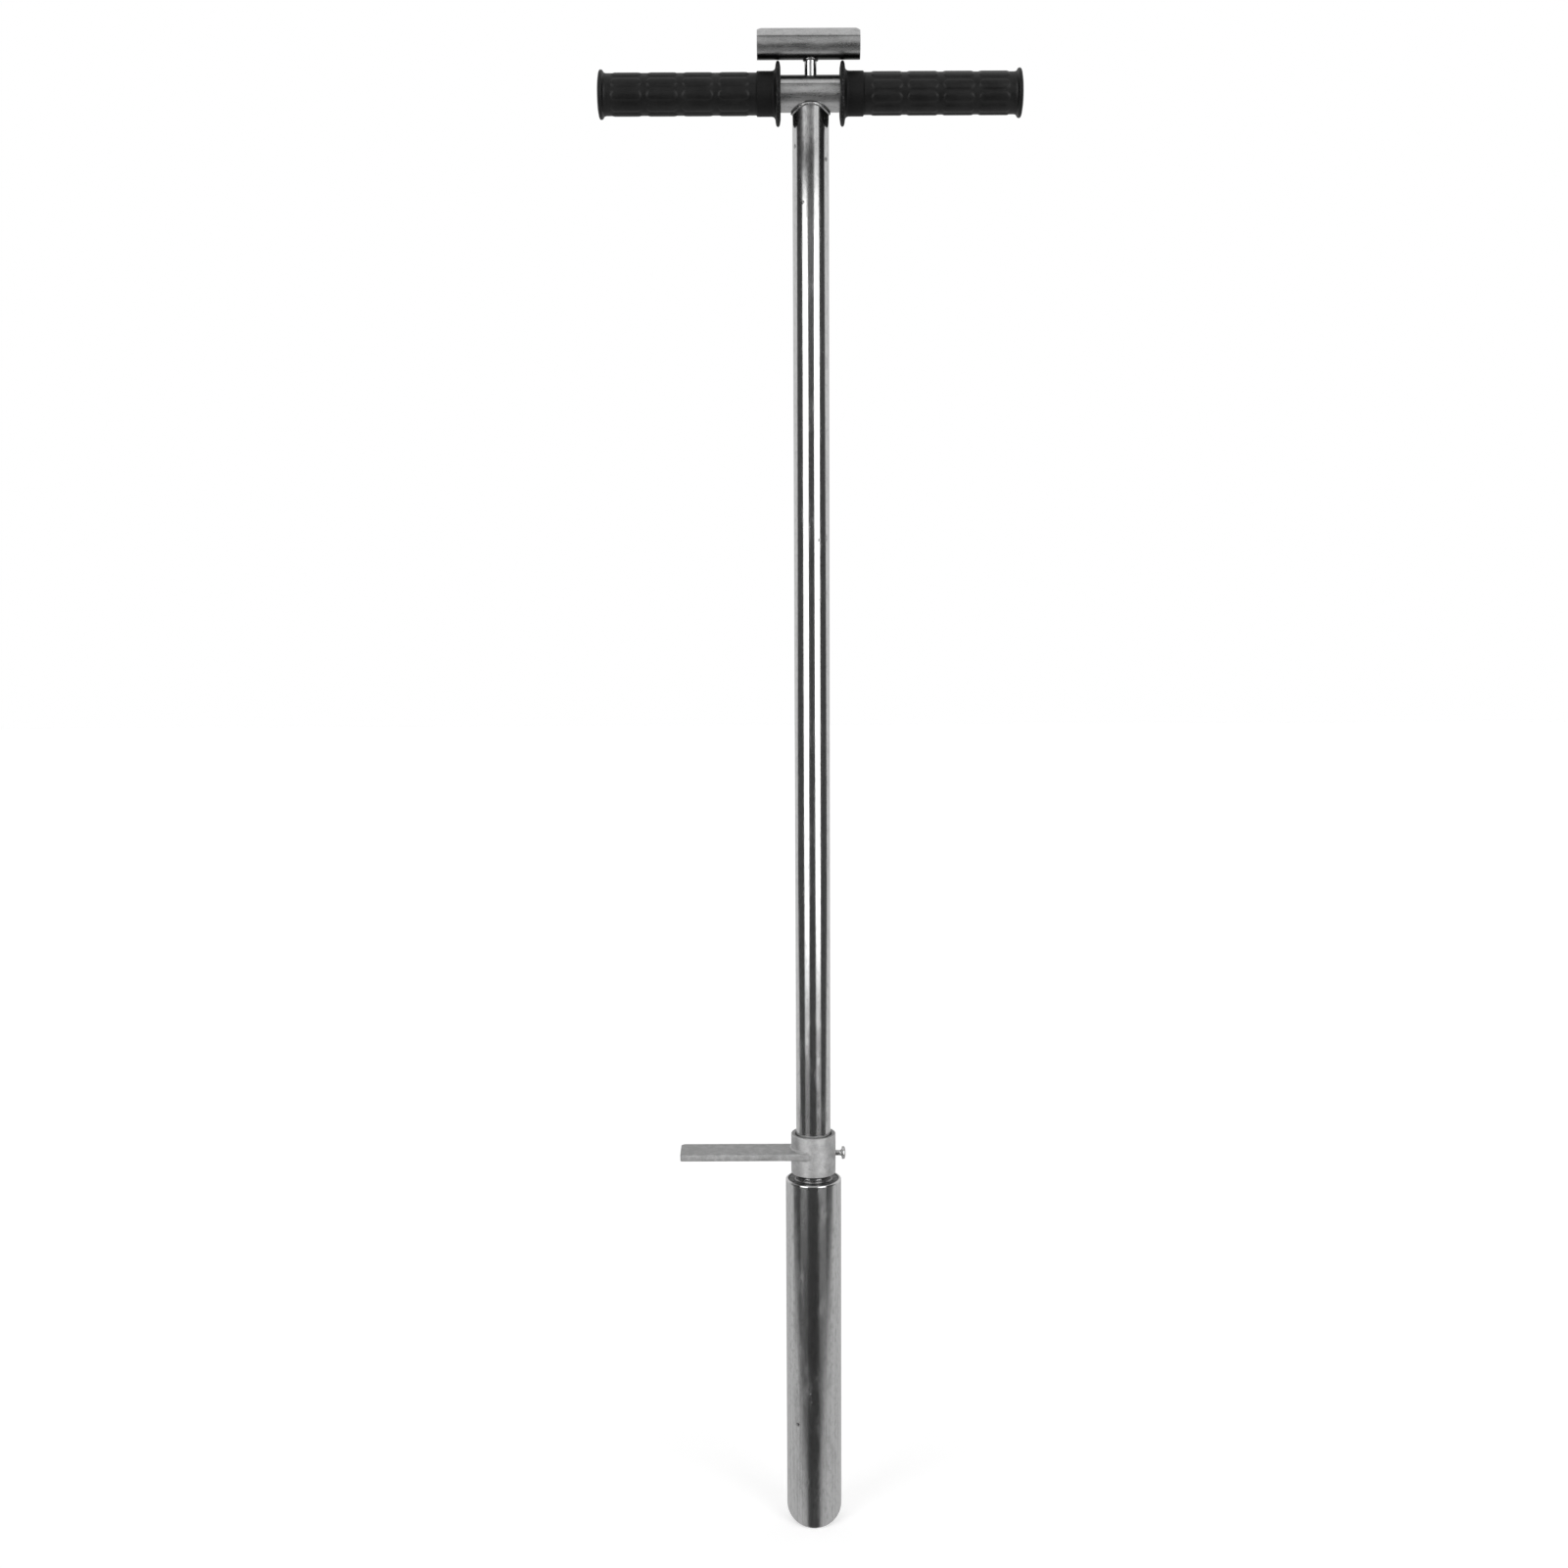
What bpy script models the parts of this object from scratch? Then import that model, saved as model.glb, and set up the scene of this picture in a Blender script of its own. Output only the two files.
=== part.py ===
"""Soil probe: a slant-tipped sampling tube on a long shaft, with a cross handle, an ejector and a foot step.

Metres, +Z up. The shaft's axis is the Z axis, the handle lies along X, and the origin is level with
the lowest point of the sampling tube's tip, which faces -Y. The ejector is modelled at its lowest,
with its bar on the grips' flanges.
"""
import bpy
import bmesh
from math import atan2, cos, pi, radians, sin, sqrt, tan
from mathutils import Matrix

# Fits
GAP = 0.0003                 # clearance between two pieces that meet
SLIDE_CLEARANCE = 0.0011     # play between the step's collar and the shaft
STOP_MARGIN = 0.0005         # what is left before a sliding piece reaches its stop

# Sampling tube
TUBE_R = 0.02065
TUBE_WALL = 0.00165
TUBE_LENGTH = 0.269
TUBE_EDGE = 0.0014           # rounding of the tube's top edge
TIP_SLANT = radians(30)
TIP_BEVEL = 0.0009           # ground along the outside of the tip

# Shoulder that closes the tube's top round the shaft
SHOULDER_THICKNESS = 0.005
SHOULDER_WELD = 0.0025

# Shaft and handle tube
SHAFT_R = 0.0127
SHAFT_WALL = 0.002
SHAFT_LENGTH = 0.7838        # from the shoulder's top to the handle's axis
EAR_DROP = 0.005             # the saddle's two ears are trimmed this far under the handle's axis
HANDLE_R = 0.0127
HANDLE_WALL = 0.002
HANDLE_SPAN = 0.2945         # over both grips
HANDLE_WELD = 0.0021

# Rubber grips, as lengths along the handle and thicknesses over its tube
GRIP_SPACING = 0.0414        # between the two flanges' faces
GRIP_TURN = radians(11.3)    # each grip was pushed on a little turned round the handle
FLANGE_HEIGHT = 0.0093
FLANGE_THICKNESS = 0.0037
FLANGE_ROOT = 0.0024         # length of the flare from the flange down to the neck
NECK_LENGTH = 0.0102
NECK_HEIGHT = 0.0024
NECK_EDGE = 0.0004           # length of the drop from the neck to the body
BODY_HEIGHT = 0.0014
LIP_HEIGHT = 0.0036
LIP_LENGTH = 0.0028
LIP_ROUND = 0.0006           # how much the lip's two edges are rounded off
END_DOME = 0.0014            # how far the closed end bulges
END_WALL = 0.003
PAD_ROWS = 10
PADS_PER_ROW = 4
FIRST_PAD = 0.0051           # from the neck to a row's first pad
LAST_PAD = 0.0033            # from a row's last pad to the lip
PAD_GAP = 0.0035             # between two pads of a row
PAD_RISE = 0.00045
PAD_SLOPE = 0.0007           # width of a pad's sloping border
PAD_CORNER = 0.0011

# Ejector
BAR_R = 0.01065
BAR_WALL = 0.002
BAR_LENGTH = 0.071
BAR_SHIFT = -0.00135         # the bar is welded a little off the rod's axis
BAR_CORNER_LENGTH = 0.003    # the two top corners are ground off
BAR_CORNER_HEIGHT = 0.0016
ROD_R = 0.00425
BAR_WELD = 0.0024
PISTON_THICKNESS = 0.014
PISTON_LIFT = 0.0022         # from the top of the slanted mouth to the piston
PISTON_RECESS_R = 0.0105
WASHER_R = 0.0085
WASHER_THICKNESS = 0.0016
NUT_WIDTH = 0.013
NUT_HEIGHT = 0.0065
LOCK_NUT_HEIGHT = 0.004
GUIDE_LENGTH = 0.018

# Foot step
COLLAR_WALL = 0.0027
COLLAR_HEIGHT = 0.0312
COLLAR_EDGE = 0.0005
STEP_LIFT = 0.0051           # from the shoulder's top to the collar
STEP_WIDTH = 0.025
STEP_THICKNESS = 0.0051
STEP_REACH = 0.098
STEP_SETBACK = 0.0006        # the bar's front face, behind the collar's front
STEP_RISE = 0.0016           # the bar's middle, above the collar's middle
STEP_CORNER = 0.0015
STEP_WELD = 0.0017
STEP_GROOVE = 0.0012         # ground into the bar's end, above and below, for the weld to fill
STEP_WELD_FRONT = 0.0009     # the bead thins out where the bar runs into the collar's front
WELD_TAPER = 1 / 3           # over this share of its length

# Clamp screw
SCREW_R = 0.0021
SCREW_SHOWN = 0.0046         # bare shank between the collar and the head
SCREW_HEAD_R = 0.0046
SCREW_HEAD_HEIGHT = 0.003
SCREW_DOME = 0.0014
SCREW_FLARE = 0.0011
HEX_WIDTH = 0.003
HEX_DEPTH = 0.0016

# Worked out from the sizes above
TUBE_BORE = TUBE_R - TUBE_WALL
SHAFT_BORE = SHAFT_R - SHAFT_WALL
SHAFT_FOOT_Z = TUBE_LENGTH - SHOULDER_THICKNESS
HANDLE_Z = TUBE_LENGTH + SHAFT_LENGTH
ROD_HOLE = ROD_R + GAP
GRIP_BORE = HANDLE_R + GAP
GRIP_START = GRIP_SPACING / 2
GRIP_LENGTH = HANDLE_SPAN / 2 - GRIP_START
NECK_START = FLANGE_THICKNESS + FLANGE_ROOT
BODY_START = NECK_START + NECK_LENGTH
BODY_END = GRIP_LENGTH - END_DOME - LIP_LENGTH
BODY_R = GRIP_BORE + BODY_HEIGHT
PAD_SPAN = BODY_END - LAST_PAD - BODY_START - FIRST_PAD
PAD_LENGTH = (PAD_SPAN - (PADS_PER_ROW - 1) * PAD_GAP) / PADS_PER_ROW
FLANGE_R = GRIP_BORE + FLANGE_HEIGHT
BAR_Z = HANDLE_Z + FLANGE_R + GAP + BAR_R
MOUTH_TOP_Z = 2 * TUBE_R * tan(TIP_SLANT)
PISTON_Z = MOUTH_TOP_Z + PISTON_LIFT
PISTON_R = TUBE_BORE - GAP
PISTON_TOP_Z = PISTON_Z + PISTON_THICKNESS
NUT_Z = PISTON_Z + GAP
WASHER_Z = NUT_Z + NUT_HEIGHT + GAP
RECESS_DEPTH = WASHER_Z + WASHER_THICKNESS + GAP - PISTON_Z
LOCK_NUT_Z = PISTON_TOP_Z + GAP
COLLAR_BORE = SHAFT_R + SLIDE_CLEARANCE
COLLAR_R = COLLAR_BORE + COLLAR_WALL
COLLAR_Z = TUBE_LENGTH + STEP_LIFT
STEP_Z = COLLAR_Z + COLLAR_HEIGHT / 2 + STEP_RISE
STEP_FRONT_Y = STEP_SETBACK - COLLAR_R
CLAMP_Z = COLLAR_Z + COLLAR_HEIGHT / 2
SCREW_TIP_X = SHAFT_R + GAP
SCREW_HEAD_X = COLLAR_R + SCREW_SHOWN

# How far the moving pieces travel from where they are modelled
EJECTOR_TRAVEL = SHAFT_FOOT_Z - (LOCK_NUT_Z + LOCK_NUT_HEIGHT) - STOP_MARGIN
STEP_RAISE = (HANDLE_Z - HANDLE_R - HANDLE_WELD) - (COLLAR_Z + COLLAR_HEIGHT) - STOP_MARGIN
STEP_LOWER = STEP_LIFT - GAP - SHOULDER_WELD - STOP_MARGIN

# Facets round a turned piece
TUBE_STEPS = 48
SHAFT_STEPS = 40
PAD_STEPS = 4                # per row of pads, the first of which is the gap between two rows
GRIP_STEPS = PAD_ROWS * PAD_STEPS
SMALL_STEPS = 24
BEAD_POINTS = 40
MERGE = 0.000002

# Colour, roughness and metallic value of each finish
FINISHES = {
    "chrome": ((0.78, 0.78, 0.79), 0.07, 1.0),
    "brushed steel": ((0.52, 0.52, 0.53), 0.30, 1.0),
    "zinc plate": ((0.62, 0.62, 0.62), 0.48, 1.0),
    "weld": ((0.45, 0.45, 0.45), 0.35, 1.0),
    "rubber": ((0.018, 0.018, 0.018), 0.55, 0.0),
    "nylon": ((0.70, 0.69, 0.65), 0.45, 0.0),
}

PARTS_NAME = "soil_probe"
CUTTERS_NAME = "soil_probe_cutters"
EJECTOR_PIECES = ["ejector_bar", "ejector_rod", "ejector_weld", "ejector_piston", "piston_washer",
                  "piston_nut", "lock_nut"]
STEP_PIECES = ["step_collar", "step_bar", "step_weld", "clamp_screw"]


def clear_scene():
    for obj in list(bpy.data.objects):
        bpy.data.objects.remove(obj, do_unlink=True)


def make_collection(name):
    collection = bpy.data.collections.new(name)
    bpy.context.scene.collection.children.link(collection)
    return collection


def make_material(name, finish):
    colour, roughness, metallic = FINISHES[finish]
    material = bpy.data.materials.new(name)
    material.use_nodes = True
    shader = material.node_tree.nodes["Principled BSDF"]
    shader.inputs["Base Color"].default_value = (*colour, 1.0)
    shader.inputs["Roughness"].default_value = roughness
    shader.inputs["Metallic"].default_value = metallic
    material.diffuse_color = (*colour, 1.0)
    return material


def add_part(name, mesh, finish):
    obj = bpy.data.objects.new(name, mesh)
    obj.data.materials.append(make_material(name, finish))
    bpy.data.collections[PARTS_NAME].objects.link(obj)
    return obj


def add_cutter(name, mesh):
    obj = bpy.data.objects.new(name, mesh)
    obj.hide_render = True
    obj.display_type = "WIRE"
    bpy.data.collections[CUTTERS_NAME].objects.link(obj)
    return obj


def turned(name, outline, finish, steps=SMALL_STEPS):
    """A solid turned about Z. The outline's (radius, height) points run down its outer side."""
    mesh = bpy.data.meshes.new(name)
    points = [(radius, 0.0, height) for radius, height in outline]
    edges = [(i, i + 1) for i in range(len(points) - 1)]
    if outline[0][0] > 0:
        edges.append((len(points) - 1, 0))
    mesh.from_pydata(points, edges, [])
    obj = add_part(name, mesh, finish)
    turn = obj.modifiers.new("turn", "SCREW")
    turn.axis = "Z"
    turn.angle = 2 * pi
    turn.steps = steps
    turn.render_steps = steps
    turn.use_merge_vertices = True
    turn.merge_threshold = MERGE
    return obj


def ring_outline(outer, inner, bottom, top):
    """Outline of a plain tube or washer."""
    return [(outer, top), (outer, bottom), (inner, bottom), (inner, top)]


def turn_angle(x, y):
    """Angle of a point round Z, from 0 to a full turn."""
    return atan2(y, x) % (2 * pi)


def arc(centre_r, centre_z, radius, start, end, count):
    """Points of an arc in an outline, from one angle to the other, 0 pointing away from the axis."""
    angles = [start + (end - start) * i / (count - 1) for i in range(count)]
    return [(centre_r + radius * cos(a), centre_z + radius * sin(a)) for a in angles]


def cylinder_mesh(name, radius, bottom, top, steps):
    """A closed cylinder or prism round Z."""
    mesh = bpy.data.meshes.new(name)
    bm = bmesh.new()
    depth = top - bottom
    bmesh.ops.create_cone(bm, cap_ends=True, segments=steps, radius1=radius, radius2=radius, depth=depth)
    bmesh.ops.translate(bm, verts=bm.verts, vec=(0, 0, (top + bottom) / 2))
    bm.to_mesh(mesh)
    bm.free()
    return mesh


def box_mesh(name, low, high):
    mesh = bpy.data.meshes.new(name)
    bm = bmesh.new()
    bmesh.ops.create_cube(bm, size=1.0)
    size = [b - a for a, b in zip(low, high)]
    middle = [(a + b) / 2 for a, b in zip(low, high)]
    bmesh.ops.scale(bm, verts=bm.verts, vec=size)
    bmesh.ops.translate(bm, verts=bm.verts, vec=middle)
    bm.to_mesh(mesh)
    bm.free()
    return mesh


def upright_cutter(name, radius, bottom, top, steps=SMALL_STEPS):
    return add_cutter(name, cylinder_mesh(name, radius, bottom, top, steps))


def cross_cutter(name, radius, half_length, x, z, steps):
    """A cylinder that lies along X."""
    obj = add_cutter(name, cylinder_mesh(name, radius, -half_length, half_length, steps))
    lay_along_x(obj, x, z)
    return obj


def lay_along_x(obj, x, z):
    """Turn a piece that was made round Z, so that its top points along +X."""
    obj.rotation_euler = (0, pi / 2, 0)
    obj.location = (x, 0, z)


def cut(obj, *cutters):
    for cutter in cutters:
        boolean = obj.modifiers.new(cutter.name, "BOOLEAN")
        boolean.operation = "DIFFERENCE"
        boolean.solver = "EXACT"
        boolean.object = cutter


def bake(obj):
    """Apply the modifiers, keeping the object's own place."""
    bpy.context.view_layer.update()
    evaluated = obj.evaluated_get(bpy.context.evaluated_depsgraph_get())
    mesh = bpy.data.meshes.new_from_object(evaluated)
    mesh.name = obj.name
    obj.modifiers.clear()
    obj.data = mesh


def edit(obj):
    bm = bmesh.new()
    bm.from_mesh(obj.data)
    bm.normal_update()
    return bm


def keep(bm, obj):
    bm.to_mesh(obj.data)
    bm.free()


def bead(name, points, radii):
    """A closed weld bead: a round tube swept along a loop of points."""
    curve = bpy.data.curves.new(name, "CURVE")
    curve.dimensions = "3D"
    curve.bevel_depth = 1.0
    curve.bevel_resolution = 2
    spline = curve.splines.new("POLY")
    spline.points.add(len(points) - 1)
    for spot, point, radius in zip(spline.points, points, radii):
        spot.co = (*point, 1.0)
        spot.radius = radius
    spline.use_cyclic_u = True
    guide = add_cutter(name + "_path", curve)
    bpy.context.view_layer.update()
    evaluated = guide.evaluated_get(bpy.context.evaluated_depsgraph_get())
    obj = add_part(name, bpy.data.meshes.new_from_object(evaluated), "weld")
    obj.matrix_world = guide.matrix_world
    bpy.data.objects.remove(guide)
    return obj


def sampling_tube():
    """The tube that takes the core, cut at a slant and ground to a thin edge."""
    edge = min(TUBE_EDGE, 0.9 * TUBE_WALL)
    rounding = arc(TUBE_R - edge, TUBE_LENGTH - edge, edge, pi / 2, 0, 5)
    outline = rounding + [(TUBE_R, 0), (TUBE_BORE, 0), (TUBE_BORE, TUBE_LENGTH)]
    tube = turned("sampling_tube", outline, "chrome", TUBE_STEPS)
    reach = 3 * TUBE_R
    slant = add_cutter("tip_slant", box_mesh("tip_slant", (-reach, -reach, -reach), (reach, reach, 0)))
    slant.location = (0, -TUBE_R, 0)
    slant.rotation_euler = (TIP_SLANT, 0, 0)
    cut(tube, slant)
    bake(tube)
    bevel_tip(tube)


def bevel_tip(tube):
    """Grind the outer edge of the slanted mouth."""
    bm = edit(tube)
    facing = (0, sin(TIP_SLANT), -cos(TIP_SLANT))
    mouth = {f for f in bm.faces if sum(a * b for a, b in zip(f.normal, facing)) > 0.999}
    middle = (TUBE_R + TUBE_BORE) / 2
    rim = []
    for e in bm.edges:
        on_mouth = len([f for f in e.link_faces if f in mouth]) == 1
        outside = all(sqrt(v.co.x ** 2 + v.co.y ** 2) > middle for v in e.verts)
        if on_mouth and outside:
            rim.append(e)
    offset = min(TIP_BEVEL, 0.7 * TUBE_WALL)
    bmesh.ops.bevel(bm, geom=rim, offset=offset, segments=1, affect="EDGES", clamp_overlap=True)
    keep(bm, tube)


def shoulder():
    """The disc in the tube's top, and the weld that joins it to the shaft."""
    turned("shoulder_disc", ring_outline(TUBE_BORE - GAP, SHAFT_R + GAP, SHAFT_FOOT_Z, TUBE_LENGTH), "chrome",
           TUBE_STEPS)
    inner = SHAFT_R + GAP
    bottom = TUBE_LENGTH + GAP
    leg = min(SHOULDER_WELD, STEP_LIFT / 2)
    hollow = arc(inner + leg, bottom + leg, leg, pi, 1.5 * pi, 4)
    turned("shoulder_weld", hollow + [(inner, bottom)], "weld", SHAFT_STEPS)


def shaft_tube():
    """The long tube. Its top is trimmed, then cut to a saddle that fits the handle."""
    top = HANDLE_Z - EAR_DROP
    shaft = turned("shaft_tube", ring_outline(SHAFT_R, SHAFT_BORE, SHAFT_FOOT_Z, top), "chrome", SHAFT_STEPS)
    cut(shaft, cross_cutter("shaft_saddle", HANDLE_R + GAP, 2 * SHAFT_R, 0, HANDLE_Z, 2 * SHAFT_STEPS))


def rod_guide():
    """The bush in the shaft's foot, which guides the rod and stops the piston."""
    outline = ring_outline(SHAFT_BORE - GAP, ROD_HOLE, SHAFT_FOOT_Z, SHAFT_FOOT_Z + GUIDE_LENGTH)
    turned("rod_guide", outline, "nylon")


def handle_tube():
    """The cross tube, drilled through for the ejector's rod."""
    half = HANDLE_SPAN / 2 - END_WALL - GAP
    tube = turned("handle_tube", ring_outline(HANDLE_R, HANDLE_R - HANDLE_WALL, -half, half), "brushed steel",
                  SHAFT_STEPS)
    lay_along_x(tube, 0, HANDLE_Z)
    reach = 2 * HANDLE_R
    cut(tube, upright_cutter("rod_hole", ROD_HOLE, HANDLE_Z - reach, HANDLE_Z + reach))


def handle_weld():
    """The bead round the shaft's saddle. It follows the line where the two tubes meet."""
    points = []
    radii = []
    for i in range(BEAD_POINTS):
        angle = 2 * pi * i / BEAD_POINTS
        x = SHAFT_R * cos(angle)
        y = SHAFT_R * sin(angle)
        drop = sqrt(max(HANDLE_R ** 2 - y ** 2, EAR_DROP ** 2))
        points.append((x, y, HANDLE_Z - drop))
        radii.append(HANDLE_WELD * (1 - 0.15 * sin(angle) ** 2))
    weld = bead("handle_weld", points, radii)
    top = HANDLE_Z - EAR_DROP + GAP
    shaft_space = upright_cutter("weld_shaft", SHAFT_R + GAP, HANDLE_Z - 3 * HANDLE_R, top, SHAFT_STEPS)
    handle_space = cross_cutter("weld_handle", HANDLE_R + GAP, 2 * SHAFT_R, 0, HANDLE_Z, 2 * SHAFT_STEPS)
    cut(weld, shaft_space, handle_space)


def grip_outline():
    """Half section of a grip. Its closed outer end is at the top and its flange's face at height 0."""
    neck = GRIP_BORE + NECK_HEIGHT
    lip = GRIP_BORE + LIP_HEIGHT
    rim = FLANGE_THICKNESS / 2
    dome_base = GRIP_LENGTH - END_DOME
    bend = 0.7
    points = [(0, GRIP_LENGTH), (lip * bend, dome_base + END_DOME * sqrt(1 - bend ** 2)),
              (lip - LIP_ROUND, dome_base), (lip, dome_base - 0.35 * LIP_LENGTH),
              (lip - LIP_ROUND / 2, dome_base - 0.75 * LIP_LENGTH), (BODY_R, BODY_END)]
    points += [(BODY_R, edge) for edge in reversed(pad_edges())]
    points += [(BODY_R, BODY_START + NECK_EDGE), (neck, BODY_START), (neck, NECK_START),
               (neck + 0.25 * FLANGE_HEIGHT, FLANGE_THICKNESS + 0.3 * FLANGE_ROOT)]
    points += arc(FLANGE_R - rim, rim, rim, 0.4 * pi, -0.4 * pi, 5)
    points += [(GRIP_BORE, 0), (GRIP_BORE, GRIP_LENGTH - END_WALL), (0, GRIP_LENGTH - END_WALL)]
    return points


def pad_edges():
    """Heights in the grip's outline where its pads start and end."""
    edges = []
    for i in range(PADS_PER_ROW):
        start = BODY_START + FIRST_PAD + i * (PAD_LENGTH + PAD_GAP)
        edges += [start, start + PAD_LENGTH]
    return edges


def pad_faces(bm):
    """The faces of each pad: one gap between rows is one facet wide, and the rest of a row is pad."""
    edges = pad_edges()
    facet = 2 * pi / GRIP_STEPS
    pads = {}
    for face in bm.faces:
        middle = face.calc_center_median()
        radius = sqrt(middle.x ** 2 + middle.y ** 2)
        if abs(radius - BODY_R * cos(facet / 2)) > 0.1 * BODY_HEIGHT:
            continue
        turn = int(turn_angle(middle.x, middle.y) / facet)
        for i in range(PADS_PER_ROW):
            along = edges[2 * i] < middle.z < edges[2 * i + 1]
            if along and turn % PAD_STEPS:
                pads.setdefault((i, turn // PAD_STEPS), []).append(face)
    return pads


def grip(name, side):
    """One moulded grip, with its rows of raised pads. The side is -1 on the left and 1 on the right."""
    obj = turned(name, grip_outline(), "rubber", GRIP_STEPS)
    bake(obj)
    bm = edit(obj)
    corners = set()
    for faces in pad_faces(bm).values():
        uses = {}
        for face in faces:
            for vert in face.verts:
                uses[vert] = uses.get(vert, 0) + 1
        corners.update(vert for vert, count in uses.items() if count == 1)
    bmesh.ops.bevel(bm, geom=list(corners), offset=PAD_CORNER, segments=1, affect="VERTICES",
                    clamp_overlap=True)
    bm.normal_update()
    for faces in pad_faces(bm).values():
        bmesh.ops.inset_region(bm, faces=faces, thickness=PAD_SLOPE, depth=PAD_RISE, use_even_offset=True)
    keep(bm, obj)
    obj.data.transform(Matrix.Rotation(side * GRIP_TURN, 4, "Z"))
    obj.location = (side * GRIP_START, 0, HANDLE_Z)
    obj.rotation_euler = (0, side * pi / 2, 0)


def ejector_bar():
    """The cross bar that the hand pushes, a short tube with its two top corners ground off."""
    half = BAR_LENGTH / 2
    outline = ring_outline(BAR_R, BAR_R - BAR_WALL, -half, half)
    bar = turned("ejector_bar", outline, "brushed steel", SHAFT_STEPS)
    lay_along_x(bar, BAR_SHIFT, BAR_Z)
    slope = atan2(BAR_CORNER_HEIGHT, BAR_CORNER_LENGTH)
    for end, name in ((1, "bar_corner_right"), (-1, "bar_corner_left")):
        mesh = box_mesh(name, (-2 * BAR_R, -2 * BAR_R, 0), (2 * BAR_R, 2 * BAR_R, 2 * BAR_R))
        corner = add_cutter(name, mesh)
        corner.location = (BAR_SHIFT + end * (half - BAR_CORNER_LENGTH), 0, BAR_Z + BAR_R)
        corner.rotation_euler = (0, end * slope, 0)
        cut(bar, corner)


def ejector_rod():
    """The rod from the bar's underside down to the piston's nut."""
    top = BAR_Z
    bottom = NUT_Z
    rod = turned("ejector_rod", [(0, top), (ROD_R, top), (ROD_R, bottom), (0, bottom)], "chrome")
    cut(rod, cross_cutter("rod_saddle", BAR_R + GAP, 2 * BAR_R, 0, BAR_Z, 2 * SHAFT_STEPS))


def ejector_weld():
    """The fillet between the rod and the bar."""
    points = []
    for i in range(SMALL_STEPS):
        angle = 2 * pi * i / SMALL_STEPS
        x = ROD_R * cos(angle)
        y = ROD_R * sin(angle)
        points.append((x, y, BAR_Z - sqrt(BAR_R ** 2 - y ** 2)))
    weld = bead("ejector_weld", points, [BAR_WELD] * len(points))
    rod_space = upright_cutter("weld_rod", ROD_HOLE, BAR_Z - 3 * BAR_R, BAR_Z)
    bar_space = cross_cutter("weld_bar", BAR_R + GAP, 2 * BAR_R, 0, BAR_Z, 2 * SHAFT_STEPS)
    cut(weld, rod_space, bar_space)


def ejector_piston():
    """The piston, with its nut and washer sunk in its lower face and a thin nut locked on top."""
    recess_top = PISTON_Z + RECESS_DEPTH
    outline = [(PISTON_R, PISTON_TOP_Z), (PISTON_R, PISTON_Z), (PISTON_RECESS_R, PISTON_Z),
               (PISTON_RECESS_R, recess_top), (ROD_HOLE, recess_top), (ROD_HOLE, PISTON_TOP_Z)]
    turned("ejector_piston", outline, "nylon", TUBE_STEPS)
    washer = ring_outline(WASHER_R, ROD_HOLE, WASHER_Z, WASHER_Z + WASHER_THICKNESS)
    turned("piston_washer", washer, "zinc plate")
    hex_nut("piston_nut", NUT_Z, NUT_HEIGHT)
    hex_nut("lock_nut", LOCK_NUT_Z, LOCK_NUT_HEIGHT)


def hex_nut(name, bottom, height):
    corner_r = NUT_WIDTH / 2 / cos(pi / 6)
    nut = add_part(name, cylinder_mesh(name, corner_r, bottom, bottom + height, 6), "zinc plate")
    cut(nut, upright_cutter(name + "_bore", ROD_HOLE, bottom - height, bottom + 2 * height))


def step_collar():
    """The sleeve that slides on the shaft, drilled for its clamp screw."""
    edge = COLLAR_EDGE
    top = COLLAR_Z + COLLAR_HEIGHT
    outline = [(COLLAR_R - edge, top), (COLLAR_R, top - edge), (COLLAR_R, COLLAR_Z + edge),
               (COLLAR_R - edge, COLLAR_Z), (COLLAR_BORE, COLLAR_Z), (COLLAR_BORE, top)]
    collar = turned("step_collar", outline, "zinc plate", SHAFT_STEPS)
    middle = (COLLAR_R + COLLAR_BORE) / 2
    cut(collar, cross_cutter("screw_hole", SCREW_R + GAP, COLLAR_WALL, middle, CLAMP_Z, SMALL_STEPS))


def step_bar():
    """The flat bar for the foot. Its front face runs into the front of the collar."""
    low = (-STEP_REACH, STEP_FRONT_Y, STEP_Z - STEP_THICKNESS / 2)
    high = (0, STEP_FRONT_Y + STEP_WIDTH, STEP_Z + STEP_THICKNESS / 2)
    bar = add_part("step_bar", box_mesh("step_bar", low, high), "zinc plate")
    bm = edit(bar)
    outer = [e for e in bm.edges if all(v.co.x < -STEP_REACH / 2 for v in e.verts)
             and abs(e.verts[0].co.y - e.verts[1].co.y) < MERGE]
    bmesh.ops.bevel(bm, geom=outer, offset=STEP_CORNER, segments=3, profile=0.5, affect="EDGES")
    keep(bm, bar)
    cut(bar, upright_cutter("bar_saddle", COLLAR_R + GAP, 0, HANDLE_Z, 2 * SHAFT_STEPS))
    depth = min(STEP_GROOVE, STEP_THICKNESS / 4)
    for name, height in (("bar_groove_top", high[2]), ("bar_groove_bottom", low[2])):
        reach = COLLAR_R + STEP_WELD + GAP
        cut(bar, upright_cutter(name, reach, height - depth, height + depth, 2 * SHAFT_STEPS))


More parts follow.
